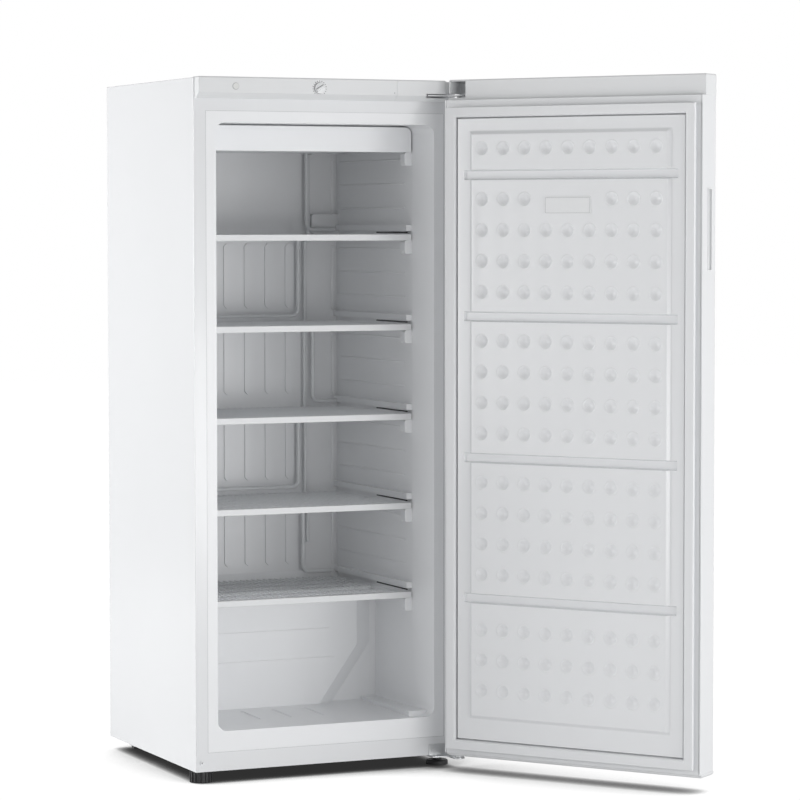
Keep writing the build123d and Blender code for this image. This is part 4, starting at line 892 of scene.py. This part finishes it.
def buildKnob():
    radius, base, wide, reach = knob["radius"], knob["base"], knob["gripWide"], knob["gripReach"]
    face = dial["face"] - knob["seat"]
    bm = bmesh.new()
    upright = Matrix.Rotation(math.pi / 2, 4, "X")
    flat = Matrix.Translation((dial["x"], face - base / 2, dial["z"])) @ upright
    bmesh.ops.create_cone(bm, cap_ends=True, segments=knob["sides"], radius1=radius, radius2=radius,
                          depth=base, matrix=flat)
    rims = [e for e in bm.edges if e.calc_face_angle(0.0) > 1.0]
    roundEdges(bm, rims, knob["rimSoft"], 3, clamp=False)
    turn = Matrix.Rotation(math.radians(-knob["rest"]), 4, "Y")
    place = Matrix.Translation((dial["x"], face - knob["height"] / 2, dial["z"])) @ turn
    size = Matrix.Diagonal((2.0 * reach, knob["height"], wide, 1.0))
    made = bmesh.ops.create_cube(bm, size=1.0, matrix=place @ size)
    roundEdges(bm, edgesOf(made["verts"]), knob["gripSoft"], 3, clamp=False)
    piece = addPiece("thermostatKnob", bm, cabinetFrame, "knob_plastic", "knob")
    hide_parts("thermostat_knob")
    # Black lines where the grip meets the base and round the knob's foot on the panel: painted shade in these
    # creases.
    bm = bmesh.new()
    for side in (-1.0, 1.0):
        away = side * (wide / 2 + knob["shadeLineOut"])
        start = place @ Vector((-reach, 0.0, away))
        end = place @ Vector((reach, 0.0, away))
        start.y = end.y = face - base
        softBar(bm, start, end, knob["line"], knob["line"])
    roundBar(bm, radius, knob["rimShadeLine"], dial["x"], dial["z"], face - knob["rimShadeLine"])
    bmesh.ops.recalc_face_normals(bm, faces=bm.faces)
    addPiece("knobShadeLines", bm, cabinetFrame, "black_plastic", "knob")


# The thin joint between the liner and the cabinet's front flange.
linerSeam = {"side": 245.4, "low": 59.7, "high": 1267.5, "thick": 0.7, "sunk": 0.24}


def buildLinerSeams():
    bm = bmesh.new()
    side, low, high, y = linerSeam["side"], linerSeam["low"], linerSeam["high"], linerSeam["sunk"]
    thick = linerSeam["thick"]
    for x in (-side, side):
        softBar(bm, (x, y, low), (x, y, high), thick, thick)
    for z in (low, high):
        softBar(bm, (-side, y, z), (side, y, z), thick, thick)
    addPiece("linerSeams", bm, cabinetFrame, "grey_plastic", "cabinet")


# The folded rear edges of the wrap, which cover the foam.
backEdge = {"x": (263.0, 269.3), "y": (483.2, 484.6), "low": 278.0, "z": (1322.0, 1328.3)}


def buildBackEdges():
    bm = bmesh.new()
    inside, outside = backEdge["x"]
    for side in ((-outside, -inside), (inside, outside)):
        blockBetween(bm, side, backEdge["y"], (backEdge["low"], backEdge["z"][1]))
    blockBetween(bm, (-inside, inside), backEdge["y"], backEdge["z"])
    addPiece("backEdges", bm, cabinetFrame, "white_enamel", "cabinet")


# The beds that close the grooves in the liner's floor.
grooveBed = {"places": (-98.0, -33.0, 34.0), "start": 103.0, "end": 207.0, "level": 98.5, "slope": 0.0191,
             "width": 9.0, "thick": 1.0}


def buildGrooveBeds():
    bm = bmesh.new()
    start, end = grooveBed["start"], grooveBed["end"]
    low = grooveBed["level"] - grooveBed["thick"] / 2
    rise = grooveBed["slope"] * (end - start)
    for x in grooveBed["places"]:
        softBar(bm, (x, start, low), (x, end, low + rise), grooveBed["width"], grooveBed["thick"])
    # The beds share the inner liner's lighter white, with its painted bounce light.
    addPiece("grooveBeds", bm, cabinetFrame, "inner_liner", "cabinet")


# Black bars in a cross on the corner screw's head: painted shade for its slot.
screwSlotShade = {"x": -258.4, "z": 41.6, "y": -2.0, "long": 5.2, "wide": 0.9, "turn": 0.6}


def buildScrewSlotShade():
    bm = bmesh.new()
    wide = screwSlotShade["wide"]
    middle = Vector((screwSlotShade["x"], screwSlotShade["y"], screwSlotShade["z"]))
    for turn in (screwSlotShade["turn"], screwSlotShade["turn"] + math.pi / 2):
        out = Vector((math.cos(turn), 0.0, math.sin(turn))) * (screwSlotShade["long"] / 2)
        softBar(bm, middle - out, middle + out, wide, wide)
    addPiece("cornerScrewSlotShade", bm, cabinetFrame, "black_plastic", "cabinet")


# The thin line round the bare plate on the door liner.
plateRim = {"inset": 2.2, "line": 0.5, "proud": 1.2}


def buildPlateRim():
    bm = bmesh.new()
    wide, tall, low = doorLiner["plate"]
    inset, line = plateRim["inset"], plateRim["line"]
    face = panelTop() + plateRim["proud"]
    left, right = (doorLiner["width"] - wide) / 2 + inset, (doorLiner["width"] + wide) / 2 - inset
    bottom, top = low + inset, low + tall - inset
    for z in (bottom, top):
        softBar(bm, (left, z, face), (right, z, face), line, line)
    for u in (left, right):
        softBar(bm, (u, bottom, face), (u, top, face), line, line)
    addPiece("plateRim", bm, doorFrame, "grey_plastic", "door")


# Fillings that close the door's foam: strips at its two ends, the hinge pocket's end and the handle's floor.
endStrip = {"u": (0.6, 539.4), "outside": -2.2, "top": (1290.8, 1292.0, -15.5), "bottom": (36.4, 37.6, -7.6)}
pocketEnd = {"u": (0.3, 2.3), "n": (-56.2, -15.5), "z": (1304.7, 1328.2)}
scoop = {
    "inside": 515.5,
    "outside": 538.2,
    "deep": -38.3,
    "shallow": -25.2,
    "low": 971.0,
    "high": 1118.5,
    "thick": 1.0,
}


def buildDoorFillings():
    bm = bmesh.new()
    for name in ("top", "bottom"):
        low, high, inside = endStrip[name]
        blockBetween(bm, endStrip["u"], (low, high), (inside, endStrip["outside"]))
    addPiece("doorEndStrips", bm, doorFrame, "white_plastic", "door")
    bm = bmesh.new()
    blockBetween(bm, pocketEnd["u"], pocketEnd["z"], pocketEnd["n"])
    addPiece("pocketEnd", bm, doorFrame, "white_plastic", "door")
    bm = bmesh.new()
    inside, deep, thick = scoop["inside"], scoop["deep"], scoop["thick"]
    verts = blockBetween(bm, (inside, scoop["outside"]), (scoop["low"], scoop["high"]), (deep, deep + thick))
    for vert in verts:
        if vert.co.x < inside + thick and vert.co.z > deep + thick / 2:
            vert.co.z = scoop["shallow"]
    addPiece("handleScoop", bm, doorFrame, "white_plastic", "door")


# Moulded and folded pieces whose CAD shape only lacks its soft edges: the piece's name and the rounding.
softPieces = {
    "control_panel": ("controlPanel", 0.5),
    "hinge_cover": ("hingeCover", 0.5),
    "door_top_cap": ("doorTopCap", 0.9),
    "door_bottom_cap": ("doorBottomCap", 0.8),
    "top_fascia": ("topFascia", 0.5),
    "front_base_rail": ("frontBaseRail", 0.4),
    "handle_cup": ("handleCup", 0.4),
    "top_hinge_bracket": ("topHingeBracket", 0.35),
    "bottom_hinge_bracket": ("bottomHingeBracket", 0.35),
    "front_foot_left": ("frontFootLeft", 0.6),
    "front_foot_right": ("frontFootRight", 0.6),
    "filter_drier": ("filterDrier", 1.5),
}
trimSoft = 0.4
compressorSoft = {"edge": 1.0, "fold": 14.0, "foldSteps": 4, "foldAngle": 12.0}
gasketSoft = {"edge": 1.8, "head": 5.0, "headSteps": 4, "above": 13.0, "u": (28.0, 512.0), "z": (64.0, 1259.0)}


def compressorFold(edge):
    return bends(edge, compressorSoft["foldAngle"])


def gasketInside(edge):
    # The inner edges of the gasket's head, which the photograph shows well rounded.
    spots = [(doorFrame.inverted() @ v.co) * 1000 for v in edge.verts]
    left, right = gasketSoft["u"]
    low, high = gasketSoft["z"]
    return all(s.z > gasketSoft["above"] and left < s.x < right and low < s.y < high for s in spots)


def softenPieces():
    for level in range(1, shelf["count"] + 1):
        softPieces[f"shelf_trim_{level}"] = (f"shelfTrim{level}", trimSoft)
    for node, (name, width) in softPieces.items():
        softEdged(node, name, width)
    softEdged("compressor", "compressorShell", compressorSoft["edge"],
              rounder=((compressorFold, compressorSoft["fold"], compressorSoft["foldSteps"]),))
    softEdged("door_gasket", "doorGasket", gasketSoft["edge"],
              rounder=((gasketInside, gasketSoft["head"], gasketSoft["headSteps"]),))


placeCamera()
buildStudio()
dressNodes()
print("studio built and nodes dressed")
buildDoorLiner()
print("door liner done")
buildInnerLiner()
buildShelves()
buildRisers()
buildCondenser()
print("tubes and wires done")
buildDial()
buildKnob()
buildLinerSeams()
buildBackEdges()
buildGrooveBeds()
# Painted shade for the corner screw's slot.
buildScrewSlotShade()
buildPlateRim()
buildDoorFillings()
print("dial, seams and fillings done")
softenPieces()
print("soft edges done")
